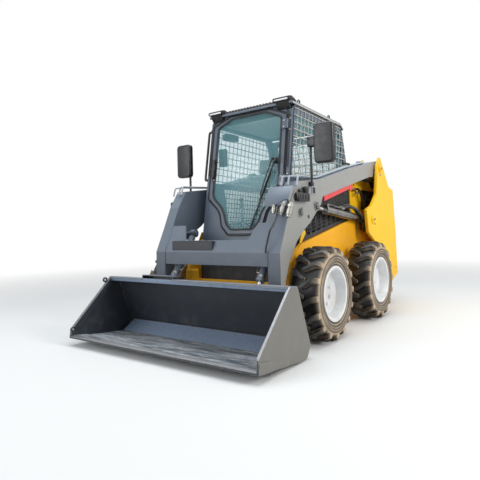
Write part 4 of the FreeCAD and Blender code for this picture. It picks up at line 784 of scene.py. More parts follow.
def make_door_trim():
    mesh = bmesh.new()
    # the pane's seal: its lip on the door frame, and the wedge between the frame and the pane
    gasket(mesh, grown(PANE_EDGE, 0.009), 0.0123, 0.018, 0.0045, 0.030)
    gasket(mesh, grown(PANE_EDGE, -0.0005), 0.0044, 0.0085, 0.0076, 0.0)
    finished("pane_gasket", mesh, "cab_door", SEAL)
    mesh = bmesh.new()
    gasket(mesh, grown(DOOR_EDGE, -0.0005), 0.0123, 0.006, 0.0025, 0.016)
    finished("door_rim_seal", mesh, "cab_door", SEAL)
    mesh = bmesh.new()
    gasket(mesh, grown(DOOR_EDGE, 0.0155), 0.0004, 0.0088, 0.0100, 0.020)
    finished("door_gasket", mesh, "chassis", SEAL)
    mesh = bmesh.new()
    # the latch: a backing plate, the grip on two feet, the lock's barrel and its push button
    slab(mesh, [on_front(x, h, 0.0125) for x, h in ((-0.393, 0.535), (-0.347, 0.535),
                (-0.347, 0.765), (-0.393, 0.765))], LEAN_OUT * 0.007, 0.003)
    slab(mesh, [on_front(x, h, 0.034) for x, h in ((-0.384, 0.560), (-0.357, 0.560),
                (-0.352, 0.600), (-0.352, 0.710), (-0.357, 0.750), (-0.384, 0.750),
                (-0.380, 0.700), (-0.380, 0.610))], LEAN_OUT * 0.018, 0.006, 3)
    for height in (0.572, 0.738):
        slab(mesh, [on_front(x, h, 0.015) for x, h in ((-0.381, height - 0.012),
                    (-0.359, height - 0.012), (-0.359, height + 0.012),
                    (-0.381, height + 0.012))], LEAN_OUT * 0.025, 0.003)
    latch = finished("door_latch", mesh, "cab_door", TRIM)
    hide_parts("door_fittings")
    mesh = bmesh.new()
    turned(mesh, on_front(-0.370, 0.655, 0.019), LEAN_OUT, ((0, 0.011), (0.004, 0.011),
           (0.005, 0.009), (0.012, 0.008), (0.013, 0)))
    for height in (0.552, 0.752):
        dome_bolt(mesh, on_front(-0.370, height - 0.004, 0.0195), LEAN_OUT, 0.006)
    for height in (0.455, 0.515, 0.975, 1.035):
        dome_bolt(mesh, on_front(0.402, height, 0.0258), LEAN_OUT, 0.0085)
    finished("door_bolts", mesh, "cab_door", FITTING_STEEL)
    mesh = bmesh.new()
    for height in (0.950, 1.055, 0.430, 0.540):
        dome_bolt(mesh, on_front(0.449, height, 0.0005), LEAN_OUT, 0.009)
    finished("hinge_bolts", mesh, "chassis", FITTING_STEEL)


def make_wiper():
    mesh = bmesh.new()
    # motor behind the pane, the boss in front of it, then arm, link and blade
    slab(mesh, [on_front(x, h, -0.012) for x, h in ((0.137, 0.575), (0.346, 0.575),
                (0.346, 0.700), (0.137, 0.700))], LEAN_OUT * -0.052, 0.010, 3)
    pivot = on_front(0.338, 0.672, 0.0045)
    turned(mesh, pivot, LEAN_OUT, ((0, 0.030), (0.006, 0.030), (0.010, 0.024), (0.018, 0.020),
                                   (0.030, 0.016), (0.038, 0.014), (0.040, 0.008), (0.040, 0)))
    turned(mesh, on_front(0.300, 0.690, 0.0045), LEAN_OUT, ((0, 0.014), (0.020, 0.013),
                                                           (0.030, 0.010), (0.031, 0)))
    tip, foot = on_front(0.103, 0.060, 0.014), on_front(0.285, 0.560, 0.014)
    middle = on_front(0.205, 0.330, 0.030)
    pipe(mesh, [on_front(0.338, 0.672, 0.036), on_front(0.290, 0.540, 0.040), middle], 0.0072)
    pipe(mesh, [on_front(0.300, 0.690, 0.030), on_front(0.262, 0.560, 0.036),
                on_front(0.196, 0.355, 0.030)], 0.0055)
    along = (foot - tip).normalized()
    side = along.cross(LEAN_OUT) * 0.005
    slab(mesh, [tip + side, tip - side, foot - side, foot + side], LEAN_OUT * 0.010, 0.0015)
    blade = side * 0.35
    slab(mesh, [tip + blade, tip - blade, foot - blade, foot + blade], LEAN_OUT * -0.0085)
    slab(mesh, [middle + side * 2 - LEAN_OUT * 0.012 - along * 0.03,
                middle - side * 2 - LEAN_OUT * 0.012 - along * 0.03,
                middle - side * 2 - LEAN_OUT * 0.012 + along * 0.03,
                middle + side * 2 - LEAN_OUT * 0.012 + along * 0.03], LEAN_OUT * 0.016, 0.003)
    # washer tube that loops from the pivot back through the pane
    pipe(mesh, [on_front(0.345, 0.660, 0.030), on_front(0.385, 0.650, 0.034),
                on_front(0.392, 0.700, 0.030), on_front(0.355, 0.712, 0.010)], 0.0032, 0.02)
    finished("wiper", mesh, "cab_door", SHELL_BLACK)


def make_roof_lamps():
    mesh = bmesh.new()
    lenses = bmesh.new()
    # side outline of a lamp: its sloping nose, the flat top and the bracket down the cab front
    nose = ((0.095, 2.0725), (0.094, 2.0990), (0.104, 2.1080), (0.150, 2.1175), (0.205, 2.1040),
            (0.240, 2.0880), (0.240, 2.0745))
    slab(mesh, [at(0.293, y, z) for y, z in nose], (0.174, 0, 0), 0.006, 3)
    wedge = ((0.112, 2.074), (0.200, 2.074), (0.165, 2.050), (0.158, 2.000), (0.136, 2.022))
    slab(mesh, [at(0.312, y, z) for y, z in wedge], (0.136, 0, 0), 0.004)
    slab(lenses, [at(0.308, y, z) for y, z in ((0.0942, 2.0760), (0.0930, 2.0915),
         (0.1000, 2.0920), (0.1000, 2.0760))], (0.144, 0, 0), 0.002)
    for x in (0.330, 0.430):
        hex_bolt(mesh, at(x, 0.1350, 2.0230), (0, -1, 0.4), 0.007)
    lamp = finished_pair("roof_lamp_housings", mesh, "chassis", LAMP_BLACK)
    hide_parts("roof_lamps")
    finished_pair("roof_lamp_lenses", lenses, "chassis", LENS)
    mesh = bmesh.new()
    # lamp wires, down the cab's front corners
    for side in (1, -1):
        pipe(mesh, [at(0.300 * side, 0.150, 2.062), on_front(0.330 * side, 1.190, 0.012),
                    on_front(0.405 * side, 1.160, 0.012), on_front(0.447 * side, 1.085, 0.012),
                    on_front(0.452 * side, 0.600, 0.008)], 0.0045, 0.05)
    finished("lamp_wires", mesh, "chassis", HOSE)
    mesh = bmesh.new()
    # black guard bars over the roof's front ribs
    foot = 0.155 - 0.0295
    for index in range(16):
        middle = (index - 7.5) * 0.036
        slab(mesh, [at(middle - 0.0085, y, z) for y, z in ((foot, 2.0625), (foot, 2.0765),
             (foot + 0.016, 2.0960), (foot + 0.074, 2.0960), (foot + 0.084, 2.0745),
             (foot + 0.084, 2.0625))], (0.017, 0, 0), 0.002)
    finished("roof_guard_bars", mesh, "chassis", BLACK_METAL)
    mesh = bmesh.new()
    # drip rail along each side of the roof, light grey as painted sunlight
    for side in (1, -1):
        slab(mesh, [at(0.4738 * side, y, z) for y, z in ((0.150, 2.0480), (0.150, 2.0660),
             (1.195, 2.0330), (1.195, 2.0150))], (0.0030 * side, 0, 0), 0.001)
    finished("roof_drip_rails", mesh, "chassis", SCREEN_SUNLIT_GREY)


SCREEN_EDGE = ((0.075, 1.362), (0.190, 2.030), (1.176, 2.004), (1.234, 1.950), (1.316, 1.646),
               (1.336, 1.362))
SCREEN_PITCH = 0.072
SCREEN_ROW = 0.066
SCREEN_WIRE = 0.0042


def clip_to(mesh, loop, across):
    """Cuts away what lies outside a convex loop of points."""
    middle = sum(loop, Vector()) / len(loop)
    for start, end in zip(loop, loop[1:] + loop[:1]):
        normal = (end - start).cross(across)
        if normal.dot(middle - start) > 0:
            normal = -normal
        bmesh.ops.bisect_plane(mesh, geom=mesh.verts[:] + mesh.edges[:] + mesh.faces[:],
                               plane_co=start, plane_no=normal, clear_outer=True)


def strip(mesh, start, end, wide, deep):
    """A flat bar between two points."""
    slab(mesh, [start - wide, start + wide, end + wide, end - wide], deep)


def edge_frame(mesh, loop, width, run):
    """A flat frame along the inside of a loop."""
    part = bmesh.new()
    part.faces.new([part.verts.new(point) for point in loop])
    keep_rim(part, width)
    pulled(part, part.faces[:], run)
    bmesh.ops.recalc_face_normals(part, faces=part.faces)
    add_mesh(mesh, part)


def make_side_screens():
    loop = [at(0.4655, y, z) for y, z in SCREEN_EDGE]
    mesh = bmesh.new()
    grid = bmesh.new()
    lean = Vector((0, 0.1712, 1.0)).normalized()
    level = Vector((0, 1.0, -0.0306)).normalized()
    for row in range(19):
        foot = at(0.4665, 0.075 + SCREEN_PITCH * row, 1.362)
        strip(grid, foot - lean * 0.1, foot + lean * 0.9, Vector((0, SCREEN_WIRE, 0)),
              Vector((0.0032, 0, 0)))
    for row in range(12):
        spot = at(0.4690, 0.0, 1.362 + SCREEN_ROW * row)
        strip(grid, spot, spot + level * 1.5, Vector((0, 0, SCREEN_WIRE)), Vector((0.0028, 0, 0)))
    clip_to(grid, loop, Vector((1, 0, 0)))
    add_mesh(mesh, grid)
    edge_frame(mesh, loop, 0.020, (0.0072, 0, 0))
    both_sides(mesh)
    # rear grid, in two flats that meet at the cab's kink
    for low, high in (((1.3504, 1.340), (1.327, 1.646)), ((1.327, 1.646), (1.2528, 1.930))):
        low, high = Vector((0, *low)), Vector((0, *high))
        up = (high - low).normalized()
        out = up.cross(Vector((1, 0, 0)))
        out = -out if out.y < 0 else out
        shift = Vector((0, FRONT_AXLE, 0)) + out * 0.001
        rows = int((high - low).length / SCREEN_PITCH)
        for row in range(rows + 1):
            spot = low + up * (0.006 + row * ((high - low).length - 0.012) / rows) + shift
            strip(mesh, spot + Vector((-0.400, 0, 0)), spot + Vector((0.400, 0, 0)),
                  up * SCREEN_WIRE, out * 0.0030)
        for column in range(12):
            across = Vector((-0.3985 + column * 0.797 / 11, 0, 0))
            strip(mesh, low + across + shift, high + across + shift, Vector((SCREEN_WIRE, 0, 0)),
                  out * 0.0055)
    screens = finished("window_screens", mesh, "chassis", SCREEN_SUNLIT_GREY, 20)
    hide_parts("side_screens")


def make_grab_rail():
    mesh = bmesh.new()
    low, high = (0.0568, 1.430), (0.1426, 1.915)
    pipe(mesh, [at(-0.4735, low[0] + 0.030, 1.420), at(-0.511, low[0] + 0.020, 1.426),
                at(-0.511, high[0] + 0.020, 1.919), at(-0.4735, high[0] + 0.030, 1.925)],
         0.012, 0.06, 6)
    for y, z in ((low[0] + 0.030, 1.420), (high[0] + 0.030, 1.925)):
        turned(mesh, at(-0.4735, y, z), (-1, 0, 0), ((0, 0.024), (0.005, 0.024), (0.006, 0.016),
                                                     (0.006, 0.012)))
    rail = finished("grab_rail_tube", mesh, "chassis", BLACK_METAL, 50)
    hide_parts("grab_rail")


def make_mirrors():
    housings, glass_faces, steel_bits = bmesh.new(), bmesh.new(), bmesh.new()
    # side, the housing's middle and foot, then the clamp's outer end
    for side, middle, foot, clamp_end in ((1, 0.842, 1.450, 0.774), (-1, 0.713, 1.462, 0.710)):
        part, shine, bolts = bmesh.new(), bmesh.new(), bmesh.new()
        pole = 0.690
        pipe(part, [at(pole, 0.050, 1.280), at(pole, 0.050, 1.690)], 0.011, 0.01, 6)
        block(part, at(0.6678, 0.030, 1.272), at(0.702, 0.070, 1.308), 0.004)
        block(part, at(pole - 0.018, 0.012, 1.602), at(clamp_end, 0.072, 1.690), 0.009, 3)
        shell = bmesh.new()
        bmesh.ops.create_cube(shell, size=1)
        bmesh.ops.scale(shell, vec=(0.176, 0.052, 0.334), verts=shell.verts)
        bmesh.ops.translate(shell, vec=at(middle, -0.004, foot + 0.167), verts=shell.verts)
        upright = [e for e in shell.edges if abs(e.verts[0].co.y - e.verts[1].co.y) > 0.01]
        bmesh.ops.bevel(shell, geom=upright, offset=0.034, segments=5, profile=0.5,
                        affect="EDGES", material=-1)
        front = [e for e in shell.edges if len(e.link_faces) == 2 and e.calc_face_angle(0) > 1.2
                 and max(v.co.y for v in e.verts) < FRONT_AXLE - 0.004]
        bmesh.ops.bevel(shell, geom=front, offset=0.016, segments=4, profile=0.5,
                        affect="EDGES", material=-1)
        rear = [f for f in shell.faces if f.normal.y > 0.9 and f.calc_area() > 0.01]
        bmesh.ops.inset_region(shell, faces=rear, thickness=0.008, depth=-0.006,
                               use_boundary=True, use_even_offset=True)
        add_mesh(part, shell)
        block(shine, at(middle - 0.078, 0.0135, foot + 0.012),
              at(middle + 0.078, 0.0175, foot + 0.322), 0.0)
        for height in (1.625, 1.667):
            hex_bolt(bolts, at(pole, 0.0125, height), (0, -1, 0), 0.0065)
        if side < 0:
            for one in (part, shine, bolts):
                bmesh.ops.scale(one, vec=(-1, 1, 1), verts=one.verts)
                bmesh.ops.reverse_faces(one, faces=one.faces)
        add_mesh(housings, part)
        add_mesh(glass_faces, shine)
        add_mesh(steel_bits, bolts)
    shells = finished("mirror_housings", housings, "loader_arm", SHELL_BLACK)
    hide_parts("mirrors")
    finished("mirror_faces", glass_faces, "loader_arm", MIRROR)
    finished("mirror_bolts", steel_bits, "loader_arm", BLACK_METAL)


def make_arm_lamps():
    mesh, lenses = bmesh.new(), bmesh.new()
    block(mesh, at(0.6676, -0.222, 1.136), at(0.715, -0.030, 1.206), 0.012, 4)
    block(mesh, at(0.6674, -0.160, 1.206), at(0.6900, -0.100, 1.236), 0.004)
    turned(mesh, at(0.694, -0.072, 1.200), (0, 0, 1), ((0, 0.024), (0.030, 0.024),
           (0.034, 0.0255), (0.052, 0.0255), (0.060, 0.020), (0.062, 0)))
    for row in range(4):
        block(mesh, at(0.7135, -0.200 + row * 0.042, 1.150),
              at(0.7185, -0.186 + row * 0.042, 1.192), 0.001)
    block(lenses, at(0.6720, -0.2248, 1.146), at(0.7105, -0.218, 1.196), 0.002)
    lamps = finished_pair("arm_lamp_housings", mesh, "loader_arm", TRIM)
    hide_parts("arm_lamps")
    finished_pair("arm_lamp_lenses", lenses, "loader_arm", DISPLAY)


def make_arm_pipes():
    mesh = bmesh.new()
    # distance outwards, then the foot's x and y
    for x, foot_x, foot_y in ((0.577, 0.555, -0.232), (0.601, 0.607, -0.212)):
        pipe(mesh, [at(foot_x, foot_y, 1.268), at(foot_x, foot_y + 0.022, 1.346),
                    at(x, -0.096, 1.352), at(x, 0.256, 1.366), at(x, 0.950, 1.529),
                    at(x, 1.480, 1.6337)], 0.008, 0.035, 5)
        for place, way in ((at(foot_x, foot_y, 1.268), (0, 0.26, 1)),
                           (at(x, 1.4805, 1.6338), (0, -0.98, -0.19))):
            turned(mesh, place, way, ((0, 0), (0, 0.0125), (0.022, 0.0125), (0.024, 0.009)), 6)
    pipe(mesh, [at(0.6830, -0.206, 1.262), at(0.6830, -0.182, 1.340), at(0.655, -0.080, 1.352),
                at(0.6275, 0.256, 1.366), at(0.6275, 0.950, 1.529), at(0.6275, 1.440, 1.6258)],
         0.008, 0.035, 5)
    for place, top in ((0.340, 1.3697), (1.000, 1.5229), (1.400, 1.6019)):
        block(mesh, at(0.561, place - 0.022, top + 0.004), at(0.617, place + 0.022, top + 0.034),
              0.004)
    pipes = finished_pair("arm_pipe_runs", mesh, "loader_arm", PIPE_GREY, 40)
    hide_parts("arm_pipes")
    mesh = bmesh.new()
    # rubber clamp where both pipes cross the beam
    block(mesh, at(0.557, 0.998, 1.5560), at(0.6195, 1.075, 1.5780), 0.003)
    finished_pair("pipe_clamp_pads", mesh, "loader_arm", TRIM)


def on_knee(x, up, out):
    """A point on the sloping front of an arm's knee."""
    return at(x, -0.275 + 0.5619 * up - 0.8272 * out, 1.143 + 0.8272 * up + 0.5619 * out)


def make_coupler_guard():
    mesh = bmesh.new()
    knee_out = Vector((0, -0.8272, 0.5619))
    slab(mesh, [on_knee(x, up, 0.034) for x, up in ((0.447, -0.060), (0.465, -0.078),
                (0.545, -0.078), (0.632, -0.020), (0.668, -0.020), (0.668, 0.118),
                (0.447, 0.118))], knee_out * 0.006, 0.0015)
    slab(mesh, [on_knee(0.662, up, out) for up, out in ((-0.040, 0.008), (0.118, 0.008),
                (0.118, 0.034), (-0.018, 0.034))], (0.006, 0, 0), 0.001)
    slab(mesh, [on_knee(x, up, 0.0006) for x, up in ((0.572, 0.010), (0.648, 0.010),
                (0.648, 0.100), (0.572, 0.100))], knee_out * 0.034, 0.002)
    slab(mesh, [on_knee(x, up, 0.005) for x, up in ((0.500, -0.062), (0.655, -0.062),
                (0.655, -0.022), (0.500, -0.022))], knee_out * 0.029, 0.003)
    guard = finished("coupler_guard_plate", mesh, "loader_arm", SLATE)
    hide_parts("coupler_guard")
    mesh = bmesh.new()
    # each quick coupler's radius, then where it leaves the manifold and where it ends
    for radius, start, end in ((0.0145, at(0.546, -0.338, 1.110), at(0.548, -0.352, 1.040)),
                               (0.0165, at(0.642, -0.330, 1.132), at(0.612, -0.356, 1.026)),
                               (0.0205, at(0.696, -0.320, 1.122), at(0.678, -0.346, 1.006))):
        drop = (end - start).normalized()
        reach = (end - start).length
        turned(mesh, start, drop, ((0, 0), (0, radius * 0.8), (reach * 0.30, radius * 0.8),
               (reach * 0.31, radius * 1.05), (reach * 0.45, radius * 1.05),
               (reach * 0.47, radius * 1.25), (reach * 0.82, radius * 1.25),
               (reach * 0.84, radius * 0.98), (reach * 0.98, radius * 0.98),
               (reach, radius * 0.86), (reach, radius * 0.55), (reach * 0.9, radius * 0.5),
               (reach * 0.9, 0)), 28)
        turned(mesh, start + drop * (reach * 0.14), drop, ((0, 0), (0, radius * 1.18),
               (reach * 0.15, radius * 1.18), (reach * 0.15, 0)), 6)
    finished("quick_couplers", mesh, "loader_arm", FITTING_STEEL)
    mesh = bmesh.new()
    # spiral-wrapped hose from the couplers down the post into the cross member
    route = [at(0.600, -0.300, 1.115), at(0.606, -0.372, 1.060), at(0.604, -0.412, 0.985),
             at(0.590, -0.484, 0.900), at(0.556, -0.488, 0.780), at(0.548, -0.484, 0.735)]
    pipe(mesh, route, 0.0065, 0.04, 5)
    for start, end in zip(route[1:], route[2:]):
        count = int((end - start).length / 0.012)
        for index in range(count):
            spot = start.lerp(end, (index + 0.5) / count)
            turned(mesh, spot, end - start, ((-0.0035, 0.0062), (-0.0025, 0.0082),
                                             (0.0025, 0.0082), (0.0035, 0.0062)), 12)
    finished("post_hose", mesh, "loader_arm", HOSE, 60)


def make_arm_details():
    mesh, plated = bmesh.new(), bmesh.new()
    # y, z and radius of the pins that show on an arm's outer plate, and how far they stand out
    for y, z, radius, out in ((0.167, 1.107, 0.022, 0.684), (-0.123, 1.047, 0.020, 0.682)):
        hex_bolt(plated, at(out, y, z), (1, 0, 0), 0.0125)
        grease_nipple(plated, at(out - 0.004, y, z + radius + 0.006), (1, 0, 0))
    for y, z in ((-0.105, 1.078), (-0.142, 1.018), (0.205, 1.090), (0.130, 1.125)):
        hex_bolt(plated, at(0.6743, y, z), (1, 0, 0), 0.007)
    finished_pair("arm_pin_bolts", plated, "loader_arm", FITTING_STEEL)
    dark = bmesh.new()
    # painted shade: black rings round the pins, black fills in the small bore and mirror's socket
    for y, z, out, size in ((0.167, 1.107, 0.6842, 0.021), (-0.123, 1.047, 0.6822, 0.019)):
        turned(dark, at(out - 0.0158, y, z), (1, 0, 0), ((0, size + 0.003), (0, size + 0.013),
               (0.008, size + 0.013), (0.010, size + 0.010), (0.010, size + 0.003)), 32)
    turned(dark, at(0.6672, 0.016, 1.014), (1, 0, 0), ((0, 0.0165), (0.0015, 0.0165),
                                                       (0.0015, 0)), 28)
    block(dark, at(0.6672, 0.092, 1.214), at(0.6690, 0.146, 1.268), 0.0)
    finished_pair("arm_painted_recess_shade", dark, "loader_arm", BLACK_METAL)
    socket = bmesh.new()
    for low, high in (((0.084, 1.206), (0.154, 1.214)), ((0.084, 1.268), (0.154, 1.276)),
                      ((0.084, 1.214), (0.092, 1.268)), ((0.146, 1.214), (0.154, 1.268))):
        block(socket, at(0.6672, *low), at(0.6735, *high), 0.0015)
    finished_pair("step_sockets", socket, "loader_arm", PIPE_GREY)
    # welds along the cross member's ends, the post's inner edge and round the toe
    for start, end in (((0.554, -0.468, 0.632), (0.554, -0.468, 0.733)),
                       ((0.554, -0.466, 0.737), (0.554, -0.366, 0.944)),
                       ((0.554, -0.362, 0.947), (0.554, -0.355, 0.968))):
        weld(mesh, at(*start), at(*end), 0.0065)
    finished_pair("arm_welds", mesh, "loader_arm", SLATE, 50)
    mesh = bmesh.new()
    # tread strips on the step
    for row in range(10):
        block(mesh, at(-0.450 + row * 0.045, -0.4600, 0.8285),
              at(-0.432 + row * 0.045, -0.4260, 0.8325), 0.001)
    finished("step_treads", mesh, "loader_arm", STEP_BLACK)


def make_cylinder_details():
    mesh, hoses, plated = bmesh.new(), bmesh.new(), bmesh.new()
    base, eye = at(0.611, 1.412, 0.995), at(0.611, 0.167, 1.107)
    way = (eye - base).normalized()
    up = Vector((1, 0, 0)).cross(way)
    up = up if up.z > 0 else -up
    # gland nut, two bands and the port bosses on top of the barrel
    turned(mesh, base + way * 0.938, way, ((0, 0.0395), (0, 0.0455), (0.020, 0.0455),
           (0.022, 0.043), (0.044, 0.043), (0.046, 0.024), (0.046, 0.021)), 32)
    for reach in (0.36, 0.74):
        turned(mesh, base + way * reach, way, ((0, 0.0385), (0, 0.0415), (0.018, 0.0415),
                                               (0.018, 0.0385)), 32)
        block_at = base + way * (reach + 0.009) + up * 0.050
        turned(mesh, block_at - up * 0.012, up, ((0, 0.011), (0.022, 0.011), (0.022, 0)), 6)
    port = base + way * 0.905
    turned(mesh, port + up * 0.036, up, ((0, 0.014), (0.018, 0.014), (0.018, 0.010),
                                         (0.028, 0.010), (0.028, 0)), 6)
    pipe(mesh, [port + up * 0.058, port + up * 0.062 - way * 0.030,
                base + way * 0.70 + up * 0.060, base + way * 0.63 + up * 0.064], 0.007, 0.02)
    pipe(mesh, [base + way * 0.80 + up * 0.050 + Vector((0.024, 0, 0)),
                base + way * 0.63 + up * 0.050 + Vector((0.026, 0, 0))], 0.006, 0.02)
    finished_pair("lift_cylinder_lines", mesh, "lift_barrel_pair", BARREL_GREY, 40)
    cap = bmesh.new()
    turned(cap, base + way * 0.050, way, ((0, 0.0385), (0, 0.0455), (0.006, 0.0470),
           (0.085, 0.0470), (0.091, 0.0455), (0.091, 0.0385)), 36)
    finished_pair("lift_cylinder_caps", cap, "lift_barrel_pair", BLACK_METAL)
    # two rubber hoses arch from the hard lines over the barrel and down behind the tower
    pipe(hoses, [base + way * 0.615 + up * 0.050 + Vector((0.026, 0, 0)), at(0.644, 0.930, 1.128),
                 at(0.656, 1.098, 1.100), at(0.664, 1.228, 1.032), at(0.660, 1.318, 0.940),
                 at(0.640, 1.342, 0.862)], 0.0155, 0.06, 5)
    pipe(hoses, [base + way * 0.615 + up * 0.064, at(0.612, 0.960, 1.146),
                 at(0.612, 1.120, 1.122), at(0.606, 1.250, 1.062), at(0.598, 1.372, 0.955),
                 at(0.596, 1.376, 0.880)], 0.0130, 0.06, 5)
    finished_pair("lift_cylinder_hoses", hoses, "lift_barrel_pair", HOSE, 60)
    for shift in (up * 0.064, up * 0.050 + Vector((0.026, 0, 0))):
        turned(plated, base + way * 0.622 + shift, way, ((-0.014, 0), (-0.014, 0.0165),
               (0.010, 0.0165), (0.012, 0.0105), (0.030, 0.0105), (0.030, 0)), 12)
    finished_pair("lift_cylinder_fittings", plated, "lift_barrel_pair", FITTING_STEEL)
    mesh = bmesh.new()
    tilt_base, tilt_eye = at(0.465, -0.165, 0.895), at(0.465, -0.5448, 0.3744)
    way = (tilt_eye - tilt_base).normalized()
    turned(mesh, tilt_base + way * 0.434, way, ((0, 0.0325), (0, 0.038), (0.016, 0.038),
           (0.018, 0.0362), (0.044, 0.0362), (0.0462, 0.022), (0.0462, 0.0185)), 28)
    finished_pair("tilt_cylinder_glands", mesh, "tilt_barrel_pair", BARREL_GREY)
    mesh = bmesh.new()
    inner = Vector((-1, 0, 0))
    port = tilt_base + way * 0.400
    pipe(mesh, [port + inner * 0.028, port + inner * 0.058, port + inner * 0.062 - way * 0.05,
                tilt_base + way * 0.12 + inner * 0.045], 0.006, 0.02)
    finished_pair("tilt_cylinder_lines", mesh, "tilt_barrel_pair", FITTING_STEEL)


TOWER_FRONT = ((1.708, 1.6915), (1.638, 1.606), (1.552, 1.262), (1.396, 1.135), (1.242, 1.090),
               (1.278, 0.856), (1.542, 0.718))


def make_tower_details():
    mesh, plated, hoses = bmesh.new(), bmesh.new(), bmesh.new()
    # retaining flags of the two pins, on the tower's outer face
    for y, z, long_way in ((1.690, 1.572, (0.0, -0.075)), (1.412, 0.995, (0.052, -0.052))):
        turned(mesh, at(0.7285, y, z), (1, 0, 0), ((0, 0.030), (0.006, 0.030), (0.008, 0.027),
                                                   (0.008, 0)), 32)
        hex_bolt(plated, at(0.7365, y, z), (1, 0, 0), 0.011)
        hex_bolt(plated, at(0.7205, y + long_way[0], z + long_way[1]), (1, 0, 0), 0.0085)
    hex_bolt(plated, at(0.7203, 2.120, 0.420), (1, 0, 0), 0.006)
    # the plate that closes the tower behind the arm, and the tab above the frame rail
    slope = Vector((0, 0.775, 0.631))
    slab(mesh, [at(x, y, z) - slope * 0.001 for x, y, z in ((0.517, 1.977, 1.378),
                (0.706, 1.977, 1.378), (0.706, 1.826, 1.563), (0.517, 1.826, 1.563))],
         slope * -0.008, 0.001)
    slab(mesh, [at(0.571, y, z) for y, z in ((0.008, 0.795), (0.040, 0.790), (0.122, 0.872),
                (0.113, 0.897), (0.075, 0.905))], (0.008, 0, 0), 0.002)
    # the stiffening lip down the front edge of the tower's outer plate
    for (y, z), (next_y, next_z) in zip(TOWER_FRONT, TOWER_FRONT[1:]):
        start, end = Vector((0, y, z)), Vector((0, next_y, next_z))
        run = (end - start).normalized()
        ahead = Vector((0, run.z, -run.y))
        corners = (start - run * 0.003 + ahead * 0.0005, end + run * 0.003 + ahead * 0.0005,
                   end + run * 0.003 + ahead * 0.0075, start - run * 0.003 + ahead * 0.0075)
        slab(mesh, [at(0.6880, 0, 0) + corner for corner in corners], (0.0318, 0, 0), 0.0015)
    finished_pair("tower_pin_heads", mesh, "chassis", YELLOW)
    finished_pair("tower_bolts", plated, "chassis", FITTING_STEEL)
    # hoses that hang inside each tower, and the one down to the frame
    for route, radius in (((at(0.560, 1.300, 1.010), at(0.560, 1.302, 0.860),
                            at(0.556, 1.306, 0.812)), 0.0125),
                          ((at(0.545, 1.330, 1.324), at(0.556, 1.440, 1.338),
                            at(0.558, 1.530, 1.250), at(0.556, 1.590, 1.120)), 0.0125),
                          ((at(0.572, 1.345, 1.285), at(0.580, 1.430, 1.305),
                            at(0.584, 1.505, 1.215), at(0.578, 1.560, 1.100)), 0.0125),
                          ((at(0.585, 1.700, 1.300), at(0.580, 1.780, 1.220),
                            at(0.575, 1.790, 1.060)), 0.009)):
        pipe(hoses, list(route), radius, 0.07, 5)
    finished_pair("tower_hoses", hoses, "chassis", HOSE, 60)
    # hoses that pass from the tower to the arm under its hinge
    slack = bmesh.new()
    for x, sag in ((0.585, 0.0), (0.612, -0.016), (0.636, 0.006)):
        pipe(slack, [at(x, 1.470, 1.444), at(x, 1.545, 1.434 + sag), at(x, 1.640, 1.446 + sag),
                     at(x - 0.01, 1.760, 1.440 + sag), at(x - 0.02, 1.840, 1.370)], 0.0120, 0.05, 5)
    both_sides(slack)
    bundle = shade_smooth(loose_piece("arm_hinge_hoses", slack, HOSE), 60)
    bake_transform(bundle)
    mesh = bmesh.new()
    for place, way in ((at(0.545, 1.330, 1.324), (0, -1, 0)), (at(0.572, 1.345, 1.285), (0, -1, 0)),
                       (at(0.560, 1.302, 0.870), (0, 0, 1))):
        turned(mesh, place, way, ((-0.03, 0), (-0.03, 0.013), (0.0, 0.013), (0.002, 0.010),
                                  (0.034, 0.010), (0.034, 0)), 12)
    finished_pair("tower_hose_ends", mesh, "chassis", FITTING_STEEL)
    mesh = bmesh.new()
    # a thin black sheet behind the window as painted shade, and the valve bank in front of it
    block(mesh, at(0.5174, 1.600, 1.112), at(0.5190, 2.040, 1.336), 0.0)
    block(mesh, at(0.5192, 1.690, 1.150), at(0.5480, 1.870, 1.290), 0.006)
    for row in range(4):
        turned(mesh, at(0.5480, 1.715 + row * 0.043, 1.230), (1, 0, 0),
               ((0, 0.015), (0.010, 0.015), (0.012, 0.011), (0.024, 0.010), (0.025, 0)), 16)
    finished_pair("control_valves", mesh, "chassis", BLACK_METAL)


GRILLE_EDGE = ((0.205, 0.872), (1.172, 1.022), (1.172, 1.326), (0.432, 1.168), (0.178, 1.010))
GRILLE_PITCH = 0.034
GRILLE_WIRE = 0.0032


def make_grille_mesh():
    loop = [at(0.5465, y, z) for y, z in GRILLE_EDGE]
    mesh = bmesh.new()
    up, level = Vector((0, 0.15, 1)).normalized(), Vector((0, 1, 0.19)).normalized()
    for column in range(34):
        foot = at(0.5468, 0.10 + column * GRILLE_PITCH, 0.80)
        strip(mesh, foot, foot + up * 0.60, Vector((0, GRILLE_WIRE, 0)), Vector((0.0025, 0, 0)))
    for row in range(18):
        spot = at(0.5490, 0.15, 0.70 + row * GRILLE_PITCH)
        strip(mesh, spot, spot + level * 1.15, Vector((0, 0, GRILLE_WIRE)), Vector((0.0025, 0, 0)))
    clip_to(mesh, loop, Vector((1, 0, 0)))
    edge_frame(mesh, loop, 0.014, (0.0055, 0, 0))
    finished_pair("side_grille_mesh", mesh, "chassis", BLACK_METAL, 20)
    mesh = bmesh.new()
    # the dark cooler core behind each grille
    for side in (1, -1):
        low, high = sorted((0.520 * side, 0.528 * side))
        block(mesh, at(low, 0.440, 0.910), at(high, 1.160, 1.150), 0.0)
    finished("grille_backing", mesh, "chassis", ENGINE_IRON)


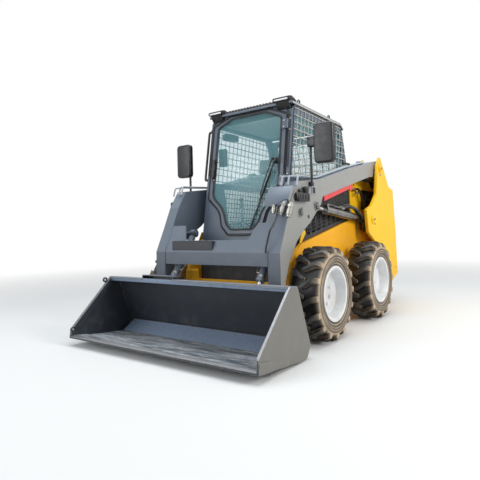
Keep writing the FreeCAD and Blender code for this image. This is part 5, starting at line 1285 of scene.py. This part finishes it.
def make_bucket_details():
    mesh, plated = bmesh.new(), bmesh.new()
    # inside corner welds, along the floor, the closing plate and up the side plates
    inside = 0.9205
    for start, end in (((-inside, -0.705, 0.030), (-inside, -1.040, 0.0245)),
                       ((-inside, -0.552, 0.120), (-inside, -0.690, 0.505)),
                       ((inside, -0.705, 0.030), (inside, -1.040, 0.0245)),
                       ((inside, -0.552, 0.120), (inside, -0.690, 0.505)),
                       ((-0.880, -0.5580, 0.1175), (0.920, -0.5580, 0.1175)),
                       ((-0.880, -0.6920, 0.0325), (0.920, -0.6920, 0.0325))):
        weld(mesh, at(*start), at(*end), 0.0042)
    finished("bucket_welds", mesh, "bucket_and_coupler", BUCKET, 50)
    # bolts of the left side strip
    front, top = Vector((0, -1.178, 0.152)), Vector((0, -0.812, 0.486))
    for share in (0.30, 0.58, 0.86):
        spot = front.lerp(top, share)
        dome_bolt(plated, at(0.9125, spot.y + 0.022, spot.z + 0.004), (-1, 0, 0), 0.008)
    finished("bucket_bolts", plated, "bucket_and_coupler", FITTING_STEEL)
    mesh = bmesh.new()
    # scoured faces: the cutting edge, the front edges of the side plates and the top of the back
    slab(mesh, [at(-0.9218, y, z) for y, z in ((-1.1960, 0.0746), (-1.1680, 0.0826),
                (-1.1540, 0.0810), (-1.1540, 0.0818), (-1.1680, 0.0835), (-1.1970, 0.0754))],
         (1.8436, 0, 0))
    rise = Vector((0, -0.695, 0.720))
    for inner, outer, start, end in ((0.9222, 0.9338, (-1.188, 0.147), (-0.791, 0.530)),
                                     (0.9122, 0.9220, (-1.178, 0.151), (-0.795, 0.518))):
        for side in (1, -1):
            slab(mesh, [at(inner * side, *start) + rise * 0.0004,
                        at(inner * side, *end) + rise * 0.0004,
                        at(outer * side, *end) + rise * 0.0004,
                        at(outer * side, *start) + rise * 0.0004], rise * 0.0010)
    for left, right in ((-0.9338, -0.5125), (-0.1475, 0.9338)):
        slab(mesh, [at(left, y, z) for y, z in ((-0.7885, 0.5324), (-0.7580, 0.5302),
                    (-0.7580, 0.5310), (-0.7885, 0.5333))], (right - left, 0, 0))
    finished("scoured_edges", mesh, "bucket_and_coupler", WORN_STEEL)
    mesh = bmesh.new()
    # the face of the plate that closes the heel, drawn lighter as painted sky light
    slab(mesh, [at(-0.881, y, z) for y, z in ((-0.6890, 0.0348), (-0.5560, 0.1182),
                (-0.5565, 0.1195), (-0.6897, 0.0361))], (1.801, 0, 0))
    # and the folded front of the lip, drawn lighter as painted sky light
    slab(mesh, [at(-0.9218, y, z) for y, z in ((-0.7894, 0.4960), (-0.7894, 0.5312),
                (-0.7912, 0.5312), (-0.7912, 0.4960))], (1.8436, 0, 0), 0.0005)
    finished("heel_face", mesh, "bucket_and_coupler", HEEL_SKY_LIT_SLATE)
    mesh = bmesh.new()
    # raised diamonds of the tread plate on the lip
    for row in range(2):
        for column in range(12):
            spot = at(-0.494 + column * 0.0275 + row * 0.013, -0.765 + row * 0.030,
                      0.5585 - row * 0.003)
            turned(mesh, spot, (0, 0.1, 1), ((-0.002, 0.009), (0.0015, 0.006), (0.002, 0)), 4)
    finished("lip_treads", mesh, "bucket_and_coupler", SLATE)


def make_tail():
    mesh, red, plated = bmesh.new(), bmesh.new(), bmesh.new()
    lean = math.atan2(0.057, 0.483)
    up, out = Vector((0, -math.sin(lean), math.cos(lean))), Vector((0, math.cos(lean),
                                                                   math.sin(lean)))
    foot = at(0, 2.182, 0.862)

    def on_tower(x, height, stand):
        return foot + Vector((x, 0, 0)) + up * height + out * stand
    slab(mesh, [on_tower(x, h, 0.0004) for x, h in ((0.575, 0.200), (0.685, 0.200),
                (0.685, 0.290), (0.575, 0.290))], out * 0.018, 0.005, 3)
    slab(red, [on_tower(x, h, 0.016) for x, h in ((0.583, 0.208), (0.637, 0.208),
               (0.637, 0.282), (0.583, 0.282))], out * 0.0078, 0.003)
    lamps = finished_pair("tail_lamp_housings", mesh, "chassis", TRIM)
    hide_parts("tail_lamps")
    finished_pair("tail_lamp_lenses", red, "chassis", RED_LENS)
    clear = bmesh.new()
    slab(clear, [on_tower(x, h, 0.016) for x, h in ((0.641, 0.208), (0.677, 0.208),
                 (0.677, 0.282), (0.641, 0.282))], out * 0.0078, 0.003)
    finished_pair("reverse_lamp_lenses", clear, "chassis", LENS)
    # paddle latch of the rear door and its hinge bolts
    tilt = math.radians(4.6)
    rise, back = Vector((0, -math.sin(tilt), math.cos(tilt))), Vector((0, math.cos(tilt),
                                                                      math.sin(tilt)))
    door = at(0, 2.196, 0.380)

    def on_door(x, height, stand):
        return door + Vector((x, 0, 0)) + rise * height + back * stand
    mesh = bmesh.new()
    slab(mesh, [on_door(x, h, 0.0004) for x, h in ((-0.455, 0.300), (-0.375, 0.300),
                (-0.375, 0.380), (-0.455, 0.380))], back * 0.0035, 0.001)
    slab(mesh, [on_door(x, h, 0.0035) for x, h in ((-0.445, 0.310), (-0.385, 0.310),
                (-0.385, 0.355), (-0.445, 0.355))], back * 0.004, 0.0015)
    finished("rear_latch", mesh, "tail_door", TRIM)
    for x, h in ((0.474, 0.150), (0.474, 0.200), (0.474, 0.720), (0.474, 0.770)):
        dome_bolt(plated, on_door(x, h, 0.0058), back, 0.0062)
    finished("rear_door_bolts", plated, "tail_door", FITTING_STEEL)


def swell(name, low, high, lean, body, pull=0.010, lines=()):
    """A padded seat part: a rounded block blown up as cloth, then its sewn channels drawn in."""
    mesh = bmesh.new()
    low, high = Vector(low), Vector(high)
    bmesh.ops.create_cube(mesh, size=1)
    bmesh.ops.scale(mesh, vec=high - low, verts=mesh.verts)
    bmesh.ops.bevel(mesh, geom=mesh.edges[:], offset=0.030, segments=4, profile=0.5,
                    affect="EDGES", material=-1)
    data = bpy.data.meshes.new(name)
    mesh.to_mesh(data)
    mesh.free()
    cushion = bpy.data.objects.new(name, data)
    bpy.context.scene.collection.objects.link(cushion)
    remesh = cushion.modifiers.new("cells", "REMESH")
    remesh.mode = "VOXEL"
    remesh.voxel_size = 0.010
    graph = bpy.context.evaluated_depsgraph_get()
    cells = bpy.data.meshes.new_from_object(cushion.evaluated_get(graph))
    cushion.modifiers.clear()
    cushion.data = cells
    rest = [v.co.copy() for v in cells.vertices]
    cloth = cushion.modifiers.new("skin", "CLOTH")
    cloth.settings.use_pressure = True
    cloth.settings.uniform_pressure_force = 4
    cloth.settings.effector_weights.gravity = 0
    for step in range(1, 21):
        bpy.context.scene.frame_set(step)
    graph = bpy.context.evaluated_depsgraph_get()
    blown = bpy.data.meshes.new_from_object(cushion.evaluated_get(graph))
    cushion.modifiers.clear()
    cushion.data = blown
    bpy.context.scene.frame_set(1)
    mesh = bmesh.new()
    mesh.from_mesh(cushion.data)
    mesh.verts.ensure_lookup_table()
    for vert, place in zip(mesh.verts, rest):
        shift = vert.co - place
        if shift.length > 0.016:
            vert.co = place + shift.normalized() * 0.016
    bmesh.ops.smooth_vert(mesh, verts=mesh.verts, factor=0.5, use_axis_x=True, use_axis_y=True,
                          use_axis_z=True)
    half = (high - low) / 2
    for vert in mesh.verts:
        depth = 0.0
        for axis, place in lines:
            gap = abs(vert.co[axis] - place * half[axis])
            depth = max(depth, math.exp(-(gap / 0.007) ** 2))
        if depth > 0.02 and vert.co.z > 0:
            vert.co.z -= pull * depth
    turn = Matrix.Translation((low + high) / 2) @ Matrix.Rotation(lean, 4, "X")
    bmesh.ops.transform(mesh, matrix=turn, verts=mesh.verts)
    for face in mesh.faces:
        face.smooth = True
    mesh.to_mesh(cushion.data)
    mesh.free()
    cushion.data.materials.clear()
    cushion.data.materials.append(VINYL)
    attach(cushion, body)
    return cushion


def make_seat():
    mesh = bmesh.new()
    # slide rails, suspension box with its folded bellows, pan and the moulded back shell
    for x in (-0.16, 0.13):
        block(mesh, at(x, 0.540, 0.7735), at(x + 0.03, 0.900, 0.790), 0.003)
    for row in range(4):
        grow = 0.006 if row % 2 else 0.0
        block(mesh, at(-0.170 - grow, 0.570 - grow, 0.786 + row * 0.010),
              at(0.170 + grow, 0.880 + grow, 0.797 + row * 0.010), 0.004)
    block(mesh, at(-0.225, 0.530, 0.822), at(0.225, 0.935, 0.838), 0.007, 3)
    slab(mesh, [at(-0.200, y, z) for y, z in ((0.925, 0.830), (0.958, 0.830), (1.052, 1.315),
                (1.010, 1.325))], (0.400, 0, 0), 0.012, 3)
    pan = finished("seat_shell", mesh, "chassis", TRIM)
    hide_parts("seat")
    swell("seat_cushion", at(-0.215, 0.540, 0.842), at(0.215, 0.880, 0.892), 0.0, "chassis",
          0.008, ((0, -0.55), (0, 0.55), (1, -0.2), (1, 0.45)))
    centre = at(0, 0.945, 1.105)
    back = Vector((0.200, 0.225, 0.030))
    lean = math.radians(90 + 11)
    swell("seat_backrest", centre - back, centre + back, lean, "chassis", 0.008,
          ((0, -0.55), (0, 0.55), (1, -0.35), (1, 0.35)))
    mesh = bmesh.new()
    # lap belt across the cushion, with its buckle, and the reel beside the seat
    for side in (1, -1):
        slab(mesh, [at(0.232 * side, 0.840, 0.850), at(0.232 * side, 0.888, 0.850),
                    at(0.206 * side, 0.850, 0.925), at(0.206 * side, 0.806, 0.925)],
             (0.0025 * side, 0, 0))
        slab(mesh, [at(0.206 * side, 0.806, 0.9255), at(0.206 * side, 0.850, 0.9255),
                    at(0.040 * side, 0.772, 0.9175), at(0.040 * side, 0.728, 0.9175)],
             (0, 0, 0.0025))
    finished("lap_belt", mesh, "chassis", BELT, 20)
    mesh = bmesh.new()
    block(mesh, at(-0.046, 0.722, 0.916), at(0.046, 0.778, 0.928), 0.005, 3)
    block(mesh, at(-0.242, 0.830, 0.815), at(-0.222, 0.900, 0.870), 0.005)
    block(mesh, at(0.222, 0.830, 0.815), at(0.242, 0.900, 0.870), 0.005)
    finished("belt_buckle", mesh, "chassis", TRIM)


def make_controls():
    mesh, boots, screen_face = bmesh.new(), bmesh.new(), bmesh.new()
    # console with its padded top, then the lever, its grip and a bellows boot
    slab(mesh, [at(0.301, y, z) for y, z in ((0.474, 0.774), (0.897, 0.774), (0.897, 0.990),
                (0.562, 0.990), (0.474, 0.920))], (0.098, 0, 0), 0.012, 3)
    block(mesh, at(0.298, 0.600, 0.984), at(0.402, 0.890, 1.008), 0.010, 4)
    for row in range(3):
        block(mesh, at(0.325 + row * 0.018, 0.520, 0.966),
              at(0.337 + row * 0.018, 0.534, 0.978), 0.002)
    pipe(mesh, [at(0.350, 0.478, 0.920), at(0.350, 0.468, 1.040), at(0.350, 0.470, 1.160)],
         0.0105, 0.05)
    turned(mesh, at(0.350, 0.470, 1.135), (0, -0.05, 1), ((0, 0.010), (0.004, 0.018),
           (0.020, 0.019), (0.055, 0.0165), (0.085, 0.0205), (0.108, 0.0225), (0.121, 0.017),
           (0.124, 0)), 24)
    block(mesh, at(0.338, 0.444, 1.218), at(0.362, 0.456, 1.240), 0.003)
    for row in range(6):
        size = 0.040 - row * 0.0042
        turned(boots, at(0.350, 0.476, 0.930 + row * 0.013), (0, 0, 1), ((0, size * 0.86),
               (0.0065, size), (0.013, size * 0.84)), 28)
    consoles = finished_pair("control_consoles", mesh, "chassis", TRIM)
    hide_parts("controls")
    finished_pair("lever_boots", boots, "chassis", SEAL, 60)
    mesh = bmesh.new()
    # gauge pod high on the right pillar, and the box above the windscreen
    block(mesh, at(-0.418, 0.180, 1.560), at(-0.338, 0.235, 1.740), 0.012, 3)
    block(mesh, at(-0.418, 0.250, 1.840), at(-0.330, 0.420, 1.905), 0.010, 3)
    finished("dash_pods", mesh, "chassis", TRIM)
    mesh = bmesh.new()
    # the padded panel under the roof, then the pod's blank display
    block(mesh, at(-0.400, 0.300, 1.978), at(0.400, 1.150, 1.996), 0.008, 2)
    finished("roof_lining", mesh, "chassis", LINING)
    block(screen_face, at(-0.410, 0.234, 1.575), at(-0.346, 0.2375, 1.725), 0.001)
    finished("dash_display", screen_face, "chassis", DISPLAY)
    mesh = bmesh.new()
    # pedals and the ribbed mat on the cab's floor
    for x in (-0.20, 0.20):
        slab(mesh, [at(x - 0.06, -0.060, 0.470), at(x + 0.06, -0.060, 0.470),
                    at(x + 0.06, 0.060, 0.420), at(x - 0.06, 0.060, 0.420)], (0, 0.003, 0.008),
             0.002)
    for row in range(9):
        block(mesh, at(-0.380, -0.080 + row * 0.054, 0.3975),
              at(0.380, -0.050 + row * 0.054, 0.4015), 0.001)
    finished("floor_mat", mesh, "chassis", SEAL)


def make_side_liners():
    """Pale gridded panels low on the inside of the cab's sides, seen through the windscreen; their
    colour raised near white as painted light.
    """
    mesh, grid = bmesh.new(), bmesh.new()
    edge = ((0.330, 0.985), (1.050, 1.060), (1.130, 1.335), (0.270, 1.335))
    inside, pitch = 0.4225, 0.048
    slab(mesh, [at(inside, y, z) for y, z in edge], (-0.002, 0, 0))
    for column in range(22):
        foot = at(inside - 0.0021, 0.200 + column * pitch, 0.950)
        strip(grid, foot, foot + Vector((0, 0.075, 0.440)), Vector((0, 0.0030, 0)),
              Vector((-0.002, 0, 0)))
    for row in range(10):
        spot = at(inside - 0.0042, 0.200, 0.960 + row * pitch)
        strip(grid, spot, spot + Vector((0, 1.0, -0.030)), Vector((0, 0, 0.0030)),
              Vector((-0.002, 0, 0)))
    clip_to(grid, [at(inside, y, z) for y, z in edge], Vector((1, 0, 0)))
    finished_pair("side_liners", mesh, "chassis", LINER)
    finished_pair("side_liner_grids", grid, "chassis", BLACK_METAL, 20)


def make_stage():
    mesh = bmesh.new()
    bmesh.ops.create_grid(mesh, x_segments=2, y_segments=2, size=40)
    data = bpy.data.meshes.new("ground")
    mesh.to_mesh(data)
    mesh.free()
    ground = Finish("pale_floor", (0.70, 0.70, 0.69), 0.8)
    reach = ground.add("ShaderNodeVectorMath", operation="LENGTH")
    ground.link(ground.place, reach.inputs[0])
    far = ground.span(reach.outputs["Value"], 3.6, 8.5)
    rays = ground.add("ShaderNodeLightPath")
    shown = ground.maths("MAXIMUM", rays.outputs["Is Camera Ray"],
                         rays.outputs["Is Transmission Ray"])
    glow = ground.add("ShaderNodeEmission")
    blend = ground.add("ShaderNodeMixShader")
    ground.link(ground.maths("MULTIPLY", far, shown), blend.inputs[0])
    ground.link(ground.surface.outputs[0], blend.inputs[1])
    ground.link(glow.outputs[0], blend.inputs[2])
    ground.link(blend.outputs[0], ground.tree.nodes["Material Output"].inputs["Surface"])
    data.materials.append(ground.material)
    floor = bpy.data.objects.new("ground", data)
    bpy.context.scene.collection.objects.link(floor)
    world = bpy.data.worlds.new("studio")
    world.use_nodes = True
    bpy.context.scene.world = world
    tree = world.node_tree
    back = tree.nodes["Background"]
    back.inputs["Color"].default_value = (0.93, 0.96, 1.0, 1)
    back.inputs["Strength"].default_value = 0.55
    seen = tree.nodes.new("ShaderNodeBackground")
    seen.inputs["Color"].default_value = (1, 1, 1, 1)
    seen.inputs["Strength"].default_value = 1.0
    path = tree.nodes.new("ShaderNodeLightPath")
    either = tree.nodes.new("ShaderNodeMath")
    either.operation = "MAXIMUM"
    tree.links.new(path.outputs["Is Camera Ray"], either.inputs[0])
    tree.links.new(path.outputs["Is Glossy Ray"], either.inputs[1])
    all_three = tree.nodes.new("ShaderNodeMath")
    all_three.operation = "MAXIMUM"
    tree.links.new(either.outputs[0], all_three.inputs[0])
    tree.links.new(path.outputs["Is Transmission Ray"], all_three.inputs[1])
    mix = tree.nodes.new("ShaderNodeMixShader")
    tree.links.new(all_three.outputs[0], mix.inputs["Fac"])
    tree.links.new(back.outputs[0], mix.inputs[1])
    tree.links.new(seen.outputs[0], mix.inputs[2])
    tree.links.new(mix.outputs[0], tree.nodes["World Output"].inputs["Surface"])


def soft_lamp(name, place, aim, width, power, colour):
    light = bpy.data.lights.new(name, "AREA")
    light.shape = "SQUARE"
    light.size = width
    light.energy = power
    light.color = colour
    lamp = bpy.data.objects.new(name, light)
    bpy.context.scene.collection.objects.link(lamp)
    lamp.location = place
    lamp.rotation_euler = (Vector(aim) - Vector(place)).to_track_quat("-Z", "Y").to_euler()


def light_studio():
    soft_lamp("sky_panel", (0.5, -0.3, 6.5), (0, 0, 0.6), 6.0, 330, (0.90, 0.96, 1.0))
    soft_lamp("key_panel", (7.0, 0.2, 4.0), (0, 0, 0.9), 2.4, 300, (1.0, 0.97, 0.93))
    soft_lamp("fill_panel", (-3.0, -7.0, 2.8), (0, -0.6, 0.8), 4.0, 170, (0.97, 0.98, 1.0))


set_camera()
make_stage()
light_studio()
bpy.context.scene.view_settings.view_transform = "Standard"
finish_cad_nodes()
make_wheels()
make_door_trim()
make_wiper()
make_roof_lamps()
make_side_screens()
make_grab_rail()
make_mirrors()
make_arm_lamps()
make_arm_pipes()
make_coupler_guard()
make_arm_details()
make_cylinder_details()
make_tower_details()
make_grille_mesh()
make_bucket_details()
make_tail()
make_seat()
make_controls()
make_side_liners()
